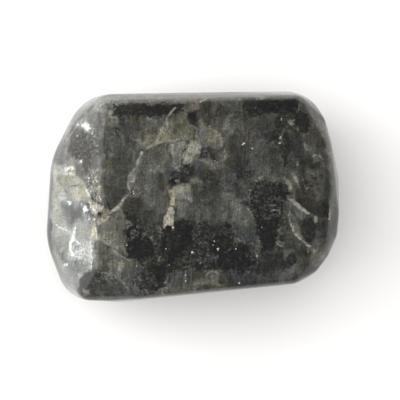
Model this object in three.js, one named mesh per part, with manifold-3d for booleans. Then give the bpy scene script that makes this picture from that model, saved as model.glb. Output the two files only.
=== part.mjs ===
// A tumble-polished larvikite stone: one solid piece of rock, in millimetres, +Z up.
// The origin is on the flat that it rests on, under the middle of its outline. +X runs along its length.
import * as THREE from "three";
import { ConvexGeometry } from "three/addons/geometries/ConvexGeometry.js";
import { mergeVertices } from "three/addons/utils/BufferGeometryUtils.js";
import Module from "manifold-3d";

const wasm = await Module();
wasm.setup();

// Driving dimensions.
const HEIGHT = 17; // from the resting flat to the top face
const CROWN = 0.25; // how far the middle of the top face stands above its edge
const GIRDLE_HALF = 5.5; // half the height of the steep band around the sides
const ROUND_STEPS = 48; // facets around a full turn of a corner

// Tumbling wears a sawn block until it is the skin stretched over a few rounded corners.
// Each corner is a ball, with its middle at x and y and its radius r in plan.
// The girdle corners set the outline. Their middles lie at z, and they are flattened to GIRDLE_HALF.
const girdleCorners = [
  { x: -10.0, y: 7.15, z: 8.6, r: 5.7 },
  { x: -8.8, y: 2.4, z: 7.6, r: 9.0 },
  { x: -9.3, y: -4.2, z: 7.2, r: 8.95 },
  { x: -12.4, y: -8.5, z: 7.4, r: 4.5 },
  { x: 11.7, y: -5.65, z: 8.4, r: 5.2 },
  { x: 9.95, y: -2.9, z: 9.0, r: 8.2 },
  { x: 12.0, y: 1.6, z: 9.2, r: 6.25 },
  { x: 11.6, y: 8.1, z: 8.8, r: 5.05 },
];
// The top corners carry the top face, and the base corners the flat that the stone rests on.
const topCorners = [
  { x: -9.9, y: 9.8, r: 2.2 },
  { x: -9.3, y: 6.5, r: 3.6 },
  { x: -9.6, y: 0.0, r: 3.4 },
  { x: -11.0, y: -8.4, r: 1.4 },
  { x: -6.6, y: -11.1, r: 1.4 },
  { x: 12.1, y: -9.15, r: 1.5 },
  { x: 13.2, y: -7.0, r: 1.8 },
  { x: 14.6, y: -4.9, r: 2.6 },
  { x: 15.0, y: 1.6, r: 2.7 },
  { x: 14.45, y: 6.0, r: 2.7 },
  { x: 13.2, y: 8.4, r: 2.2 },
  { x: 12.4, y: 10.35, r: 2.2 },
];
// The shoulder corners shape the worn edges between the top face and the girdle.
const shoulderCorners = [
  { x: -9.8, y: 9.4, z: 12.4, r: 3.3 },
  { x: 5.0, y: 9.65, z: 12.4, r: 3.3 },
  { x: 12.4, y: 9.1, z: 12.6, r: 3.55 },
  { x: 15.0, y: 9.0, z: 13.6, r: 1.4 },
  { x: 16.65, y: -1.9, z: 13.6, r: 1.4 },
  { x: 16.4, y: -4.4, z: 13.7, r: 1.4 },
  { x: 15.6, y: -6.65, z: 13.9, r: 1.2 },
  { x: 14.3, y: -8.2, z: 14.2, r: 1.3 },
  { x: -9.9, y: -11.35, z: 14.1, r: 1.4 },
  { x: -12.7, y: -11.3, z: 13.4, r: 1.4 },
];
const baseCorners = [
  { x: -9.6, y: 6.6, r: 4.2 },
  { x: 9.8, y: 7.6, r: 3.6 },
  { x: 12.0, y: 1.2, r: 4.0 },
  { x: 10.6, y: -4.8, r: 4.4 },
  { x: -11.4, y: -7.4, r: 3.4 },
  { x: -12.2, y: 0.4, r: 3.8 },
];
// A wide flat ball under the top face gives the face its slight crown.
const crownBall = { x: 1, y: 0.4, r: 9, half: 6 };

// Pits, where a soft grain has been plucked out: the place of the middle, the length, the
// width and the depth, and how many degrees the length is turned from +X. The first list is
// seen from above, the second from below, at x and y, and the third from the sides, at x and z.
const topPits = [
  { x: -11.2, y: -2.2, long: 0.6, wide: 0.45, deep: 0.35, turn: 20 }, // at the end of the pale vein
  { x: -1.9, y: 1.9, long: 0.8, wide: 0.5, deep: 0.25, turn: 60 }, // foot of the black crystal
  { x: -0.4, y: 3.9, long: 0.8, wide: 0.4, deep: 0.2, turn: 30 }, // head of the black crystal
  { x: -7.2, y: 0.6, long: 0.6, wide: 0.4, deep: 0.25, turn: 120 }, // beside the lens in the vein
  { x: -6.7, y: -3.6, long: 0.5, wide: 0.4, deep: 0.25, turn: 0 },
  { x: -6.0, y: -4.3, long: 0.5, wide: 0.35, deep: 0.25, turn: 70 },
  { x: -7.6, y: -4.9, long: 0.45, wide: 0.4, deep: 0.2, turn: 40 },
  { x: -2.5, y: -3.8, long: 0.7, wide: 0.4, deep: 0.3, turn: 150 },
  { x: 1.8, y: 5.7, long: 0.8, wide: 0.4, deep: 0.2, turn: 160 },
  { x: 11.2, y: 5.7, long: 0.7, wide: 0.4, deep: 0.2, turn: 110 },
  { x: 8.5, y: -3.7, long: 0.5, wide: 0.4, deep: 0.2, turn: 0 },
  { x: -14.0, y: 5.6, long: 0.8, wide: 0.5, deep: 0.2, turn: 80 }, // the rusty hollow on the slope
];
const basePits = [
  { x: -5.2, y: 3.1, long: 0.9, wide: 0.6, deep: 0.3, turn: 35 },
  { x: 4.6, y: -1.8, long: 0.7, wide: 0.5, deep: 0.25, turn: 100 },
  { x: 8.8, y: 4.4, long: 0.6, wide: 0.4, deep: 0.25, turn: 10 },
];
const sidePits = [
  { x: -6.5, z: 8.4, side: -1, long: 0.9, wide: 0.5, deep: 0.3, turn: 25 },
  { x: 5.2, z: 6.1, side: -1, long: 0.7, wide: 0.5, deep: 0.25, turn: 80 },
  { x: 7.4, z: 9.5, side: 1, long: 0.8, wide: 0.5, deep: 0.3, turn: 140 },
  { x: -4.1, z: 5.6, side: 1, long: 0.6, wide: 0.5, deep: 0.25, turn: 60 },
];

// The points of one ball, r wide in plan and half high, with its middle at (x, y, z).
function ballPoints(x, y, z, r, half) {
  const ball = new THREE.SphereGeometry(1, ROUND_STEPS, ROUND_STEPS / 2);
  ball.rotateX(Math.PI / 2);
  ball.scale(r, r, half);
  ball.translate(x, y, z);
  const position = ball.getAttribute("position");
  return Array.from({ length: position.count }, (_, i) =>
    new THREE.Vector3().fromBufferAttribute(position, i),
  );
}

// The worn block: the convex skin over all the corners.
function wornBlock() {
  const points = [];
  for (const c of girdleCorners) {
    points.push(...ballPoints(c.x, c.y, c.z, c.r, GIRDLE_HALF));
  }
  for (const c of topCorners) {
    points.push(...ballPoints(c.x, c.y, HEIGHT - CROWN - c.r, c.r, c.r));
  }
  for (const c of shoulderCorners) {
    points.push(...ballPoints(c.x, c.y, c.z, c.r, c.r));
  }
  for (const c of baseCorners) {
    points.push(...ballPoints(c.x, c.y, c.r, c.r, c.r));
  }
  const { x, y, r, half } = crownBall;
  points.push(...ballPoints(x, y, HEIGHT - half, r, half));
  return new ConvexGeometry(points);
}

function solidOf(geometry) {
  const bare = geometry.clone();
  bare.deleteAttribute("normal");
  bare.deleteAttribute("uv");
  const merged = mergeVertices(bare, 1e-4);
  return new wasm.Manifold(
    new wasm.Mesh({
      numProp: 3,
      vertProperties: merged.getAttribute("position").array,
      triVerts: new Uint32Array(merged.index.array),
    }),
  );
}

function geometryOf(solid) {
  const mesh = solid.getMesh();
  const geometry = new THREE.BufferGeometry();
  geometry.setAttribute(
    "position",
    new THREE.BufferAttribute(mesh.vertProperties, 3),
  );
  geometry.setIndex(new THREE.BufferAttribute(mesh.triVerts, 1));
  geometry.computeVertexNormals();
  return geometry;
}

// Where a straight line from outside first meets the block.
function surfacePoint(block, from, direction) {
  const hits = new THREE.Raycaster(from, direction).intersectObject(block);
  return hits[0].point;
}

// The hollow that one pit takes out: a ball, half of it in the rock.
function pitSolid(pit, point, direction) {
  const hollow = new THREE.IcosahedronGeometry(1, 1);
  hollow.scale(pit.long / 2, pit.wide / 2, pit.deep);
  hollow.rotateZ(THREE.MathUtils.degToRad(pit.turn));
  const facing = new THREE.Quaternion().setFromUnitVectors(
    new THREE.Vector3(0, 0, -1),
    direction,
  );
  hollow.applyQuaternion(facing);
  hollow.translate(point.x, point.y, point.z);
  return solidOf(hollow);
}

function stoneGeometry() {
  const block = new THREE.Mesh(wornBlock(), new THREE.MeshBasicMaterial());
  let solid = solidOf(block.geometry);
  const outside = 2 * HEIGHT;
  const cut = (pit, from, direction) => {
    const point = surfacePoint(block, from, direction);
    solid = solid.subtract(pitSolid(pit, point, direction));
  };
  for (const pit of topPits) {
    const from = new THREE.Vector3(pit.x, pit.y, outside);
    cut(pit, from, new THREE.Vector3(0, 0, -1));
  }
  for (const pit of basePits) {
    const from = new THREE.Vector3(pit.x, pit.y, -outside);
    cut(pit, from, new THREE.Vector3(0, 0, 1));
  }
  for (const pit of sidePits) {
    const from = new THREE.Vector3(pit.x, pit.side * outside, pit.z);
    cut(pit, from, new THREE.Vector3(0, -pit.side, 0));
  }
  return geometryOf(solid);
}

const polishedRock = new THREE.MeshStandardMaterial({
  color: 0x4a4a46,
  roughness: 0.25,
  metalness: 0,
});

const stone = new THREE.Mesh(stoneGeometry(), polishedRock);
stone.name = "stone";

const part = new THREE.Group();
part.add(stone);

export default part;
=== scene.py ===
# %% [markdown]
# # A tumble-polished larvikite stone
# Larvikite is a dark rock of interlocking feldspar crystals, a few millimetres across, with
# grains of black pyroxene and ore between them. A tumbler wears a sawn block of it until the
# corners are round, and leaves a gloss on the flats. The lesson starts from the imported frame,
# which holds the stone at its real size, and gives it a fine surface, its grains and its polish.

# %% Open the frame
import math
import random

import bpy
import numpy as np
from mathutils import Euler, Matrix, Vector, noise
from mathutils.bvhtree import BVHTree


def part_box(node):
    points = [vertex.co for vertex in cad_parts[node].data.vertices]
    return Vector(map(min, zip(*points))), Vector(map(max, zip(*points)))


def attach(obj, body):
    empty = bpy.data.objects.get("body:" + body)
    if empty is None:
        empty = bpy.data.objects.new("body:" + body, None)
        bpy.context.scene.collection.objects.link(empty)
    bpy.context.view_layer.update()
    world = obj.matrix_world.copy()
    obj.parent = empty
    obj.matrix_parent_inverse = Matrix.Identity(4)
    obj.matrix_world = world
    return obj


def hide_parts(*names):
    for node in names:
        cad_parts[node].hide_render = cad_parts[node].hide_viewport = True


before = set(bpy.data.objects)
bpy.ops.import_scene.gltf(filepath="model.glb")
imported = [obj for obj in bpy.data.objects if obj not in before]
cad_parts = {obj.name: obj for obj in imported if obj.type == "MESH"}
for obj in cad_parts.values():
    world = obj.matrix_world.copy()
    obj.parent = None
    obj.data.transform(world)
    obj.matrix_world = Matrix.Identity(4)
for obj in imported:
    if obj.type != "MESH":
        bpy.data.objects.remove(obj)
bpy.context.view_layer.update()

MM = 0.001  # Blender works in metres, and the sizes below are in millimetres
low_corner, high_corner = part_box("stone")
HEIGHT = (high_corner[2] - low_corner[2]) / MM

# %% [markdown]
# ## The worn block
# A worn block is the skin stretched over its rounded corners. It could be a cube with bevels,
# but a bevel gives all edges one radius, and tumbling wears each corner by its own amount. So
# each corner is a ball of its own radius. The girdle balls make the outline, the top balls the
# flat top face, the shoulder balls the rounding between the two, and the base balls the flat
# that the stone rests on. One wide ball gives the top face its slight crown.

# %% A corner ball
BALL_SEGMENTS = 72
balls = []


def add_ball(x, y, z, radius, half):
    """A ball, radius wide in plan and half high, with its middle at x, y and z."""
    bpy.ops.mesh.primitive_uv_sphere_add(
        segments=BALL_SEGMENTS,
        ring_count=BALL_SEGMENTS // 2,
        radius=1,
        location=(x * MM, y * MM, z * MM),
        scale=(radius * MM, radius * MM, half * MM),
    )
    balls.append(bpy.context.object)


bpy.ops.object.select_all(action="DESELECT")
print("a ball has", BALL_SEGMENTS, "segments around")

# %% Girdle balls
GIRDLE_HALF = 5.5  # half the height of the steep band around the sides
# Middle x, y and z, and radius in plan.
GIRDLE_BALLS = [
    (-10.0, 7.15, 8.6, 5.7),
    (-8.8, 2.4, 7.6, 9.0),
    (-9.3, -4.2, 7.2, 8.95),
    (-12.4, -8.5, 7.4, 4.5),
    (11.7, -5.65, 8.4, 5.2),
    (9.95, -2.9, 9.0, 8.2),
    (12.0, 1.6, 9.2, 6.25),
    (11.6, 8.1, 8.8, 5.05),
]
for x, y, z, radius in GIRDLE_BALLS:
    add_ball(x, y, z, radius, GIRDLE_HALF)
print("girdle balls:", len(GIRDLE_BALLS))

# %% Top balls
CROWN = 0.25  # how far the middle of the top face stands above its edge
# Middle x and y, and radius.
TOP_BALLS = [
    (-9.9, 9.8, 2.2),
    (-9.3, 6.5, 3.6),
    (-9.6, 0.0, 3.4),
    (-11.0, -8.4, 1.4),
    (-6.6, -11.1, 1.4),
    (12.1, -9.15, 1.5),
    (13.2, -7.0, 1.8),
    (14.6, -4.9, 2.6),
    (15.0, 1.6, 2.7),
    (14.45, 6.0, 2.7),
    (13.2, 8.4, 2.2),
    (12.4, 10.35, 2.2),
]
for x, y, radius in TOP_BALLS:
    add_ball(x, y, HEIGHT - CROWN - radius, radius, radius)
print("top balls:", len(TOP_BALLS))

# %% Shoulder balls
# Middle x, y and z, and radius.
SHOULDER_BALLS = [
    (-9.8, 9.4, 12.4, 3.3),
    (5.0, 9.65, 12.4, 3.3),
    (12.4, 9.1, 12.6, 3.55),
    (15.0, 9.0, 13.6, 1.4),
    (16.65, -1.9, 13.6, 1.4),
    (16.4, -4.4, 13.7, 1.4),
    (15.6, -6.65, 13.9, 1.2),
    (14.3, -8.2, 14.2, 1.3),
    (-9.9, -11.35, 14.1, 1.4),
    (-12.7, -11.3, 13.4, 1.4),
]
for x, y, z, radius in SHOULDER_BALLS:
    add_ball(x, y, z, radius, radius)
print("shoulder balls:", len(SHOULDER_BALLS))

# %% Base balls and the crown ball
# Middle x and y, and radius.
BASE_BALLS = [
    (-9.6, 6.6, 4.2),
    (9.8, 7.6, 3.6),
    (12.0, 1.2, 4.0),
    (10.6, -4.8, 4.4),
    (-11.4, -7.4, 3.4),
    (-12.2, 0.4, 3.8),
]
for x, y, radius in BASE_BALLS:
    add_ball(x, y, radius, radius, radius)
CROWN_X = 1.0
CROWN_Y = 0.4
CROWN_RADIUS = 9.0
CROWN_HALF = 6.0
add_ball(CROWN_X, CROWN_Y, HEIGHT - CROWN_HALF, CROWN_RADIUS, CROWN_HALF)
print("corner balls:", len(balls))

# %% [markdown]
# ## One skin
# The stone is the smallest bulging shape that holds all the balls, just as tumbling leaves it
# with no hollow. Metaballs could melt them together, but they swell where they meet, and the
# size would drift. Convex Hull stretches the skin tight over the balls, so it is exact.

# %% Stretch the skin
for ball in balls:
    ball.select_set(True)
bpy.context.view_layer.objects.active = balls[0]
bpy.ops.object.join()
bpy.ops.object.transform_apply(location=True, rotation=True, scale=True)
stone = bpy.context.object
stone.name = "polished_stone"
stone.data.name = "polished_stone"
bpy.ops.object.mode_set(mode="EDIT")
bpy.ops.mesh.select_all(action="SELECT")
bpy.ops.mesh.convex_hull()
bpy.ops.object.mode_set(mode="OBJECT")
print("skin:", len(stone.data.polygons), "faces")

# %% [markdown]
# ## A fine, even surface
# The skin has long thin triangles, which show in a polish and can't carry small pits. Voxel
# Remesh makes an even net of squares, Subdivision makes it fine, and Shrinkwrap lays it back
# on the skin, so that the stone keeps its size. Smooth then takes out the last facets.

# %% Remesh, subdivide and lay back
NET = 0.79  # squares of the remeshed net, before it is subdivided
SUBDIVISIONS = 2
EASE = 0.5  # how far one round of smoothing moves a vertex to the middle of its neighbours
NET_ROUNDS = 6
SKIN_ROUNDS = 8


def apply_modifier(piece, kind, **settings):
    modifier = piece.modifiers.new(kind.lower(), kind)
    for name, value in settings.items():
        setattr(modifier, name, value)
    bpy.ops.object.modifier_apply(modifier=modifier.name)


bpy.ops.object.duplicate()
skin = bpy.context.object
bpy.ops.object.select_all(action="DESELECT")
stone.select_set(True)
bpy.context.view_layer.objects.active = stone
apply_modifier(stone, "REMESH", mode="VOXEL", voxel_size=NET * MM)
apply_modifier(stone, "SMOOTH", factor=EASE, iterations=NET_ROUNDS)
apply_modifier(stone, "SUBSURF", levels=SUBDIVISIONS, render_levels=SUBDIVISIONS)
apply_modifier(stone, "SHRINKWRAP", target=skin, wrap_method="NEAREST_SURFACEPOINT")
apply_modifier(stone, "SMOOTH", factor=EASE, iterations=SKIN_ROUNDS)
bpy.data.objects.remove(skin)
bpy.ops.object.shade_smooth()
print("net:", len(stone.data.polygons), "faces")

# %% [markdown]
# ## Pits
# Where a soft grain sat at the surface, the tumbler's grit has plucked it out. A pit could be
# cut with a Boolean, but that leaves long thin faces around it. So each pit is one vertex
# pressed into the rock, and proportional editing takes its neighbours along.

# %% Where the pits are
# Middle, width and depth. The first list is seen from above and the second from below, both
# at x and y. The others are on the front and the back, at x and z.
TOP_PITS = [
    (-11.2, -2.2, 0.75, 0.5),
    (-1.9, 1.9, 0.9, 0.3),
    (-0.4, 3.9, 0.8, 0.25),
    (-7.2, 1.2, 0.7, 0.25),
    (-6.7, -3.6, 0.6, 0.25),
    (-6.0, -4.3, 0.6, 0.25),
    (-7.6, -4.9, 0.6, 0.25),
    (-2.5, -3.8, 0.8, 0.3),
    (1.8, 5.2, 0.8, 0.2),
    (11.3, 5.9, 0.8, 0.2),
    (8.5, -3.7, 0.6, 0.2),
    (-14.1, 5.4, 0.9, 0.25),
    (-12.2, -0.4, 0.7, 0.25),
    (-15.9, 0.7, 0.6, 0.2),
]
BASE_PITS = [(-5.2, 3.1, 1.0, 0.3), (4.6, -1.8, 0.9, 0.25), (8.8, 4.4, 0.8, 0.25)]
FRONT_PITS = [(-6.5, 8.4, 1.0, 0.3), (5.2, 6.1, 0.9, 0.25)]
BACK_PITS = [(7.4, 9.5, 1.0, 0.3), (-4.1, 5.6, 0.8, 0.25)]
OUTSIDE = 2 * HEIGHT  # where the line that finds a pit's place starts
# Start and direction of the line, and the pit's width and depth.
aims = [((x, y, OUTSIDE), (0, 0, -1), w, d) for x, y, w, d in TOP_PITS]
aims += [((x, y, -OUTSIDE), (0, 0, 1), w, d) for x, y, w, d in BASE_PITS]
aims += [((x, -OUTSIDE, z), (0, 1, 0), w, d) for x, z, w, d in FRONT_PITS]
aims += [((x, OUTSIDE, z), (0, -1, 0), w, d) for x, z, w, d in BACK_PITS]
print("pits:", len(aims))

# %% Press the pits in


def surface_tree(piece):
    bare = [v.co / MM for v in piece.data.vertices]
    faces = [tuple(p.vertices) for p in piece.data.polygons]
    return BVHTree.FromPolygons(bare, faces)


def press_pits(piece, pits):
    """Presses each pit in, and returns how deep the deepest one goes, in mm."""
    tree = surface_tree(piece)
    places = np.array([v.co / MM for v in piece.data.vertices])
    bpy.ops.object.mode_set(mode="EDIT")
    bpy.ops.mesh.select_mode(type="VERT")
    for start, direction, width, depth in pits:
        point, normal, _, _ = tree.ray_cast(Vector(start), Vector(direction))
        nearest = int(np.argmin(((places - np.array(point)) ** 2).sum(axis=1)))
        bpy.ops.mesh.select_all(action="DESELECT")
        bpy.ops.object.mode_set(mode="OBJECT")
        piece.data.vertices[nearest].select = True
        bpy.ops.object.mode_set(mode="EDIT")
        bpy.ops.transform.translate(
            value=-normal * depth * MM,
            use_proportional_edit=True,
            proportional_edit_falloff="SPHERE",
            proportional_size=width / 2 * MM,
        )
    bpy.ops.object.mode_set(mode="OBJECT")
    pressed = np.array([v.co / MM for v in piece.data.vertices])
    return np.linalg.norm(pressed - places, axis=1).max()


print("the deepest pit goes in by", round(press_pits(stone, aims), 2), "mm")

# %% [markdown]
# ## Where each mineral is
# A mineral is a pattern in the rock, and the surface shows a cut through it. It could be a
# painted image, but that smears down the sides and has only one scale. Here each vertex is
# given its distance to the nearest grain of a mineral, which the material later turns into a
# crisp, ragged edge at any scale. A grain is an outline seen from above, which goes a few
# millimetres down into the rock. The outlines are wobbled first, as no crystal edge is straight.

# %% Measure the surface
surface = np.array([v.co for v in stone.data.vertices]) / MM
WOBBLES = [(1.7, 0.16), (0.6, 0.07)]  # size and reach of the wobbles
WOBBLE_SEED = 1  # the noise differs from run to run unless it is given a seed
noise.seed_set(WOBBLE_SEED)


def wobbled(points, wobbles):
    moved = points.copy()
    for size, reach in wobbles:
        shifts = [noise.noise_vector(Vector(p / size)) for p in points]
        moved += reach * np.array(shifts)
    return moved


rock = wobbled(surface, WOBBLES)
print("vertices:", len(surface), "- wobbled by up to", round(np.abs(rock - surface).max(), 2), "mm")

# %% [markdown]
# ## Distances
# An outline is a closed ring of corners, and the distance is negative inside it, so that its
# edge is where the distance passes zero. A thread is a line that swells and thins, like a
# crack that calcite has filled. Both are measured in plan, for all the vertices at once.

# %% Distance to an outline
FAR = 9.0  # the distance to a mineral that isn't near


def distance_to_outline(points, corners):
    """Distance from points to a closed outline in plan: negative inside it."""
    corners = np.array(corners, float)
    nearest = np.full(len(points), FAR**2)
    inside = np.zeros(len(points), bool)
    for a, b in zip(corners, np.roll(corners, -1, axis=0)):
        edge = b - a
        along = np.clip(((points - a) @ edge) / (edge @ edge), 0, 1)
        gap = points - a - along[:, None] * edge
        nearest = np.minimum(nearest, (gap**2).sum(axis=1))
        if a[1] != b[1]:
            crosses = (a[1] > points[:, 1]) != (b[1] > points[:, 1])
            at = a[0] + (points[:, 1] - a[1]) / (b[1] - a[1]) * edge[0]
            inside ^= crosses & (points[:, 0] < at)
    return np.where(inside, -1, 1) * np.sqrt(nearest)


def box(left, back, right, front):
    """The corners of a small upright outline, for a spot that needs no more shape."""
    return [(left, back), (right, back), (right, front), (left, front)]


to_edge = distance_to_outline(np.zeros((1, 2)), box(-1, 1, 1, -1))[0]
print("from the middle of a 2 mm box to its edge:", to_edge, "mm")

# %% Distance to a thread


def distance_to_thread(points, stops):
    """Distance to a thread of changing width, given as x, y and width at each stop."""
    stops = np.array(stops, float)
    nearest = np.full(len(points), FAR)
    for a, b in zip(stops[:-1], stops[1:]):
        edge = b[:2] - a[:2]
        along = np.clip(((points - a[:2]) @ edge) / (edge @ edge), 0, 1)
        gap = points - a[:2] - along[:, None] * edge
        half_width = (a[2] + along * (b[2] - a[2])) / 2
        nearest = np.minimum(nearest, np.sqrt((gap**2).sum(axis=1)) - half_width)
    return nearest


HAIR = [(-1, 2, 0.2), (1, 2, 0.2)]
print("a hair 2 mm away:", round(distance_to_thread(np.zeros((1, 2)), HAIR)[0], 2), "mm to its side")

# %% [markdown]
# ## Black grains
# Pyroxene and ore are black. Each list holds how strong a grain shows, from 0 to about 1, and
# its outline or its thread. They could be scattered by chance, but the large ones are what
# tells this stone from the next one, so each has its place, and a name to find it by.

# %% Black grains
BLACK_GRAINS = {
    "long grain, foot": (1.0, [
        (-2.7, 2.1), (-2.3, 2.3), (-1.8, 2.1), (-1.6, 1.6), (-2.2, 1.45), (-2.6, 1.6),
    ]),
    "long grain, head": (0.5, [(-1.0, 3.6), (-0.7, 4.0), (-0.3, 4.15), (0.0, 3.9), (-0.5, 3.5)]),
    "front grain, core": (0.95, [
        (-1.6, -3.6), (-0.3, -3.2), (0.15, -3.8), (0.25, -5.0), (0.15, -6.1), (-0.8, -6.3),
        (-1.3, -6.7), (-1.7, -7.6), (-2.2, -8.1), (-2.9, -7.9), (-3.0, -6.8), (-2.0, -6.4),
        (-1.5, -5.5), (-1.4, -4.5),
    ]),
    "front grain, left column": (0.9, [
        (-3.8, -4.9), (-3.1, -4.4), (-3.0, -6.0), (-3.2, -7.7), (-3.8, -7.0), (-3.6, -5.8),
    ]),
    "middle front grain": (0.9, [
        (3.0, -6.8), (4.2, -6.6), (5.0, -6.0), (6.6, -5.9), (7.0, -6.8), (6.0, -7.2), (7.6, -8.0),
        (6.6, -8.9), (4.6, -8.7), (3.2, -8.9), (2.9, -7.9),
    ]),
    "spot right of the core": (0.9, [(4.2, -3.3), (4.9, -3.3), (4.9, -3.9), (4.3, -3.9)]),
    "right grain, left": (0.95, [
        (7.6, -2.3), (8.8, -2.2), (9.0, -3.1), (8.8, -3.6), (8.0, -3.6), (7.8, -3.0),
    ]),
    "right grain, dome": (0.65, [
        (10.1, 1.8), (11.2, 1.7), (11.9, 0.9), (11.9, 0.2), (11.2, -0.2), (10.1, 0.0), (9.7, 0.9),
    ]),
    "right grain, dark face": (0.6, [
        (7.9, 1.2), (8.9, 1.7), (9.7, 1.4), (9.6, 0.1), (8.4, -0.3), (7.9, 0.2),
    ]),
    "back loop, left": (0.8, [(9.0, 7.5), (9.9, 8.1), (10.8, 8.0), (10.4, 7.2), (9.6, 6.9)]),
    "streak below the loop": (0.75, [(10.9, 5.3), (11.5, 5.3), (11.6, 4.4), (11.3, 3.6), (11.0, 4.1)]),
    "small ring at the front": (0.75, [
        (11.5, -7.2), (12.3, -7.1), (12.8, -7.7), (12.5, -8.4), (11.7, -8.3),
    ]),
    "left of the foot": (0.65, [
        (-6.3, -10.7), (-5.6, -10.0), (-4.6, -10.5), (-4.2, -11.2), (-5.2, -11.5), (-6.0, -11.3),
    ]),
    "left corner spot": (0.6, [
        (-12.4, -9.1), (-11.4, -9.0), (-11.0, -9.8), (-11.8, -10.1), (-12.7, -9.9),
    ]),
    "spot by the round grain": (0.5, [(-9.1, 4.5), (-8.7, 4.7), (-8.5, 4.0), (-8.9, 3.6)]),
    "spot on the slope": (0.4, [(-13.1, 10.4), (-12.2, 11.3), (-12.1, 10.8), (-12.8, 10.2)]),
    "wedge at the right end": (1.0, [
        (15.7, -0.7), (16.3, -0.9), (16.65, -1.4), (16.7, -2.2), (16.5, -2.6), (16.2, -2.2),
        (16.0, -1.4),
    ]),
    "lens at the right": (0.85, [
        (13.5, -2.6), (14.3, -2.6), (14.8, -3.0), (15.0, -3.8), (15.0, -4.8), (14.6, -5.6),
        (14.0, -5.6), (13.6, -4.8), (13.3, -3.8),
    ]),
    "blob under the strip": (0.8, [(-5.3, 10.5), (-4.4, 10.4), (-4.3, 9.9), (-4.8, 9.6), (-5.2, 9.9)]),
    "granules, right front": (0.5, [
        (10.0, -5.2), (12.0, -5.2), (12.2, -6.2), (11.2, -6.5), (10.2, -6.2),
    ]),
    # The back strip is a dark band along the back edge, where the top starts to round over: partly black
    # mineral, partly a painted dark reflection.
    "back strip, right": (1.0, [
        (7.7, 11.8), (12.85, 12.0), (12.95, 10.4), (12.4, 9.95), (11.2, 9.9), (9.6, 10.2), (8.6, 10.5),
        (7.8, 10.7),
    ]),
    "right of the foot": (0.7, [(-3.2, -8.1), (-2.2, -8.3), (-2.2, -9.1), (-2.9, -9.4)]),
    "right grain, middle": (0.5, [
        (7.2, -0.4), (9.0, -0.2), (10.6, -0.5), (11.5, 0.2), (11.3, -1.2), (9.8, -1.9), (8.2, -2.2),
        (7.2, -1.6),
    ]),
    "pit at the vein's end": (1.0, [
        (-11.5, -2.1), (-11.2, -2.0), (-10.95, -2.15), (-11.0, -2.35), (-11.3, -2.4),
    ]),
    "back loop, right": (0.85, [
        (10.9, 7.3), (11.8, 7.2), (12.1, 6.1), (11.9, 5.1), (11.0, 5.1), (11.1, 6.3),
    ]),
    "right grain, foot": (0.9, [
        (7.9, -3.3), (9.2, -3.0), (9.8, -2.4), (10.4, -2.7), (10.4, -4.0), (10.3, -5.0), (10.3, -6.1),
        (9.6, -6.9), (8.6, -6.4), (8.1, -5.0),
    ]),
    "above the pale crystal, front": (0.7, [
        (0.6, -8.2), (1.6, -8.4), (3.9, -8.2), (4.0, -8.75), (2.4, -8.75), (1.75, -9.1), (0.8, -9.1),
    ]),
    # More of the back strip: partly black mineral, partly a painted dark reflection.
    "back strip, faded part": (0.9, [(6.0, 12.0), (7.8, 12.1), (7.8, 10.7), (7.0, 10.4), (6.4, 10.6)]),
    "strip, lower left": (0.9, [
        (6.4, 10.7), (7.8, 11.0), (9.7, 10.6), (9.5, 10.1), (8.4, 9.9), (7.0, 9.8),
    ]),
    "tongue under the strip": (0.95, [
        (-0.7, 10.3), (0.3, 10.3), (0.35, 9.5), (0.45, 8.8), (0.25, 8.2), (-0.1, 8.9), (-0.6, 9.6),
    ]),
    # More of the back strip: partly black mineral, partly a painted dark reflection.
    "back strip, left end": (0.75, [
        (-9.5, 11.1), (-6.0, 11.4), (-6.0, 10.2), (-7.5, 10.1), (-8.3, 9.75), (-9.4, 9.8),
    ]),
    "front grain, top": (0.8, [
        (-2.9, -3.5), (-2.0, -3.0), (-1.2, -2.7), (-0.7, -3.2), (-1.6, -4.1), (-2.7, -4.1),
    ]),
    "right corner blob": (0.85, [
        (12.4, 10.1), (13.3, 10.7), (14.0, 9.9), (14.4, 8.8), (14.2, 7.9), (13.1, 7.7), (12.5, 8.6),
    ]),
    "left front grain": (0.95, [
        (-8.0, -5.4), (-7.4, -4.9), (-6.2, -5.1), (-5.4, -4.6), (-4.9, -5.4), (-4.7, -6.6),
        (-5.0, -7.5), (-6.6, -7.7), (-8.1, -7.3), (-8.0, -6.4),
    ]),
    "foot of the front grain": (0.85, [
        (-5.3, -8.3), (-4.2, -8.4), (-3.6, -8.1), (-2.9, -8.4), (-3.1, -9.4), (-3.2, -10.2),
        (-3.2, -11.0), (-4.2, -11.1), (-4.3, -10.2), (-4.8, -9.5), (-5.4, -9.2),
    ]),
    "spots in the middle front": (0.9, [
        (2.0, -5.3), (2.9, -4.9), (4.6, -4.7), (4.8, -6.2), (3.8, -7.0), (2.8, -7.0), (2.2, -6.3),
    ]),
    "front grain, between": (0.6, [
        (-2.9, -4.2), (-1.6, -4.2), (-1.4, -5.8), (-2.2, -6.3), (-2.9, -5.6),
    ]),
    # More of the back strip: partly black mineral, partly a painted dark reflection.
    "back strip, left": (0.9, [
        (-6.1, 11.3), (-1.4, 11.2), (-1.2, 10.6), (-1.8, 10.2), (-2.8, 9.9), (-4.2, 10.0),
        (-6.1, 10.0),
    ]),
}
print("black grains:", len(BLACK_GRAINS))

# %% [markdown]
# ## Mottled and granular rock
# Some grains are so mixed with feldspar that they look mottled. Around them, light and dark
# grains lie side by side like salt and pepper. Both are outlines too, and the material fills
# them with spots, because nobody would place each speck by hand.

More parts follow.
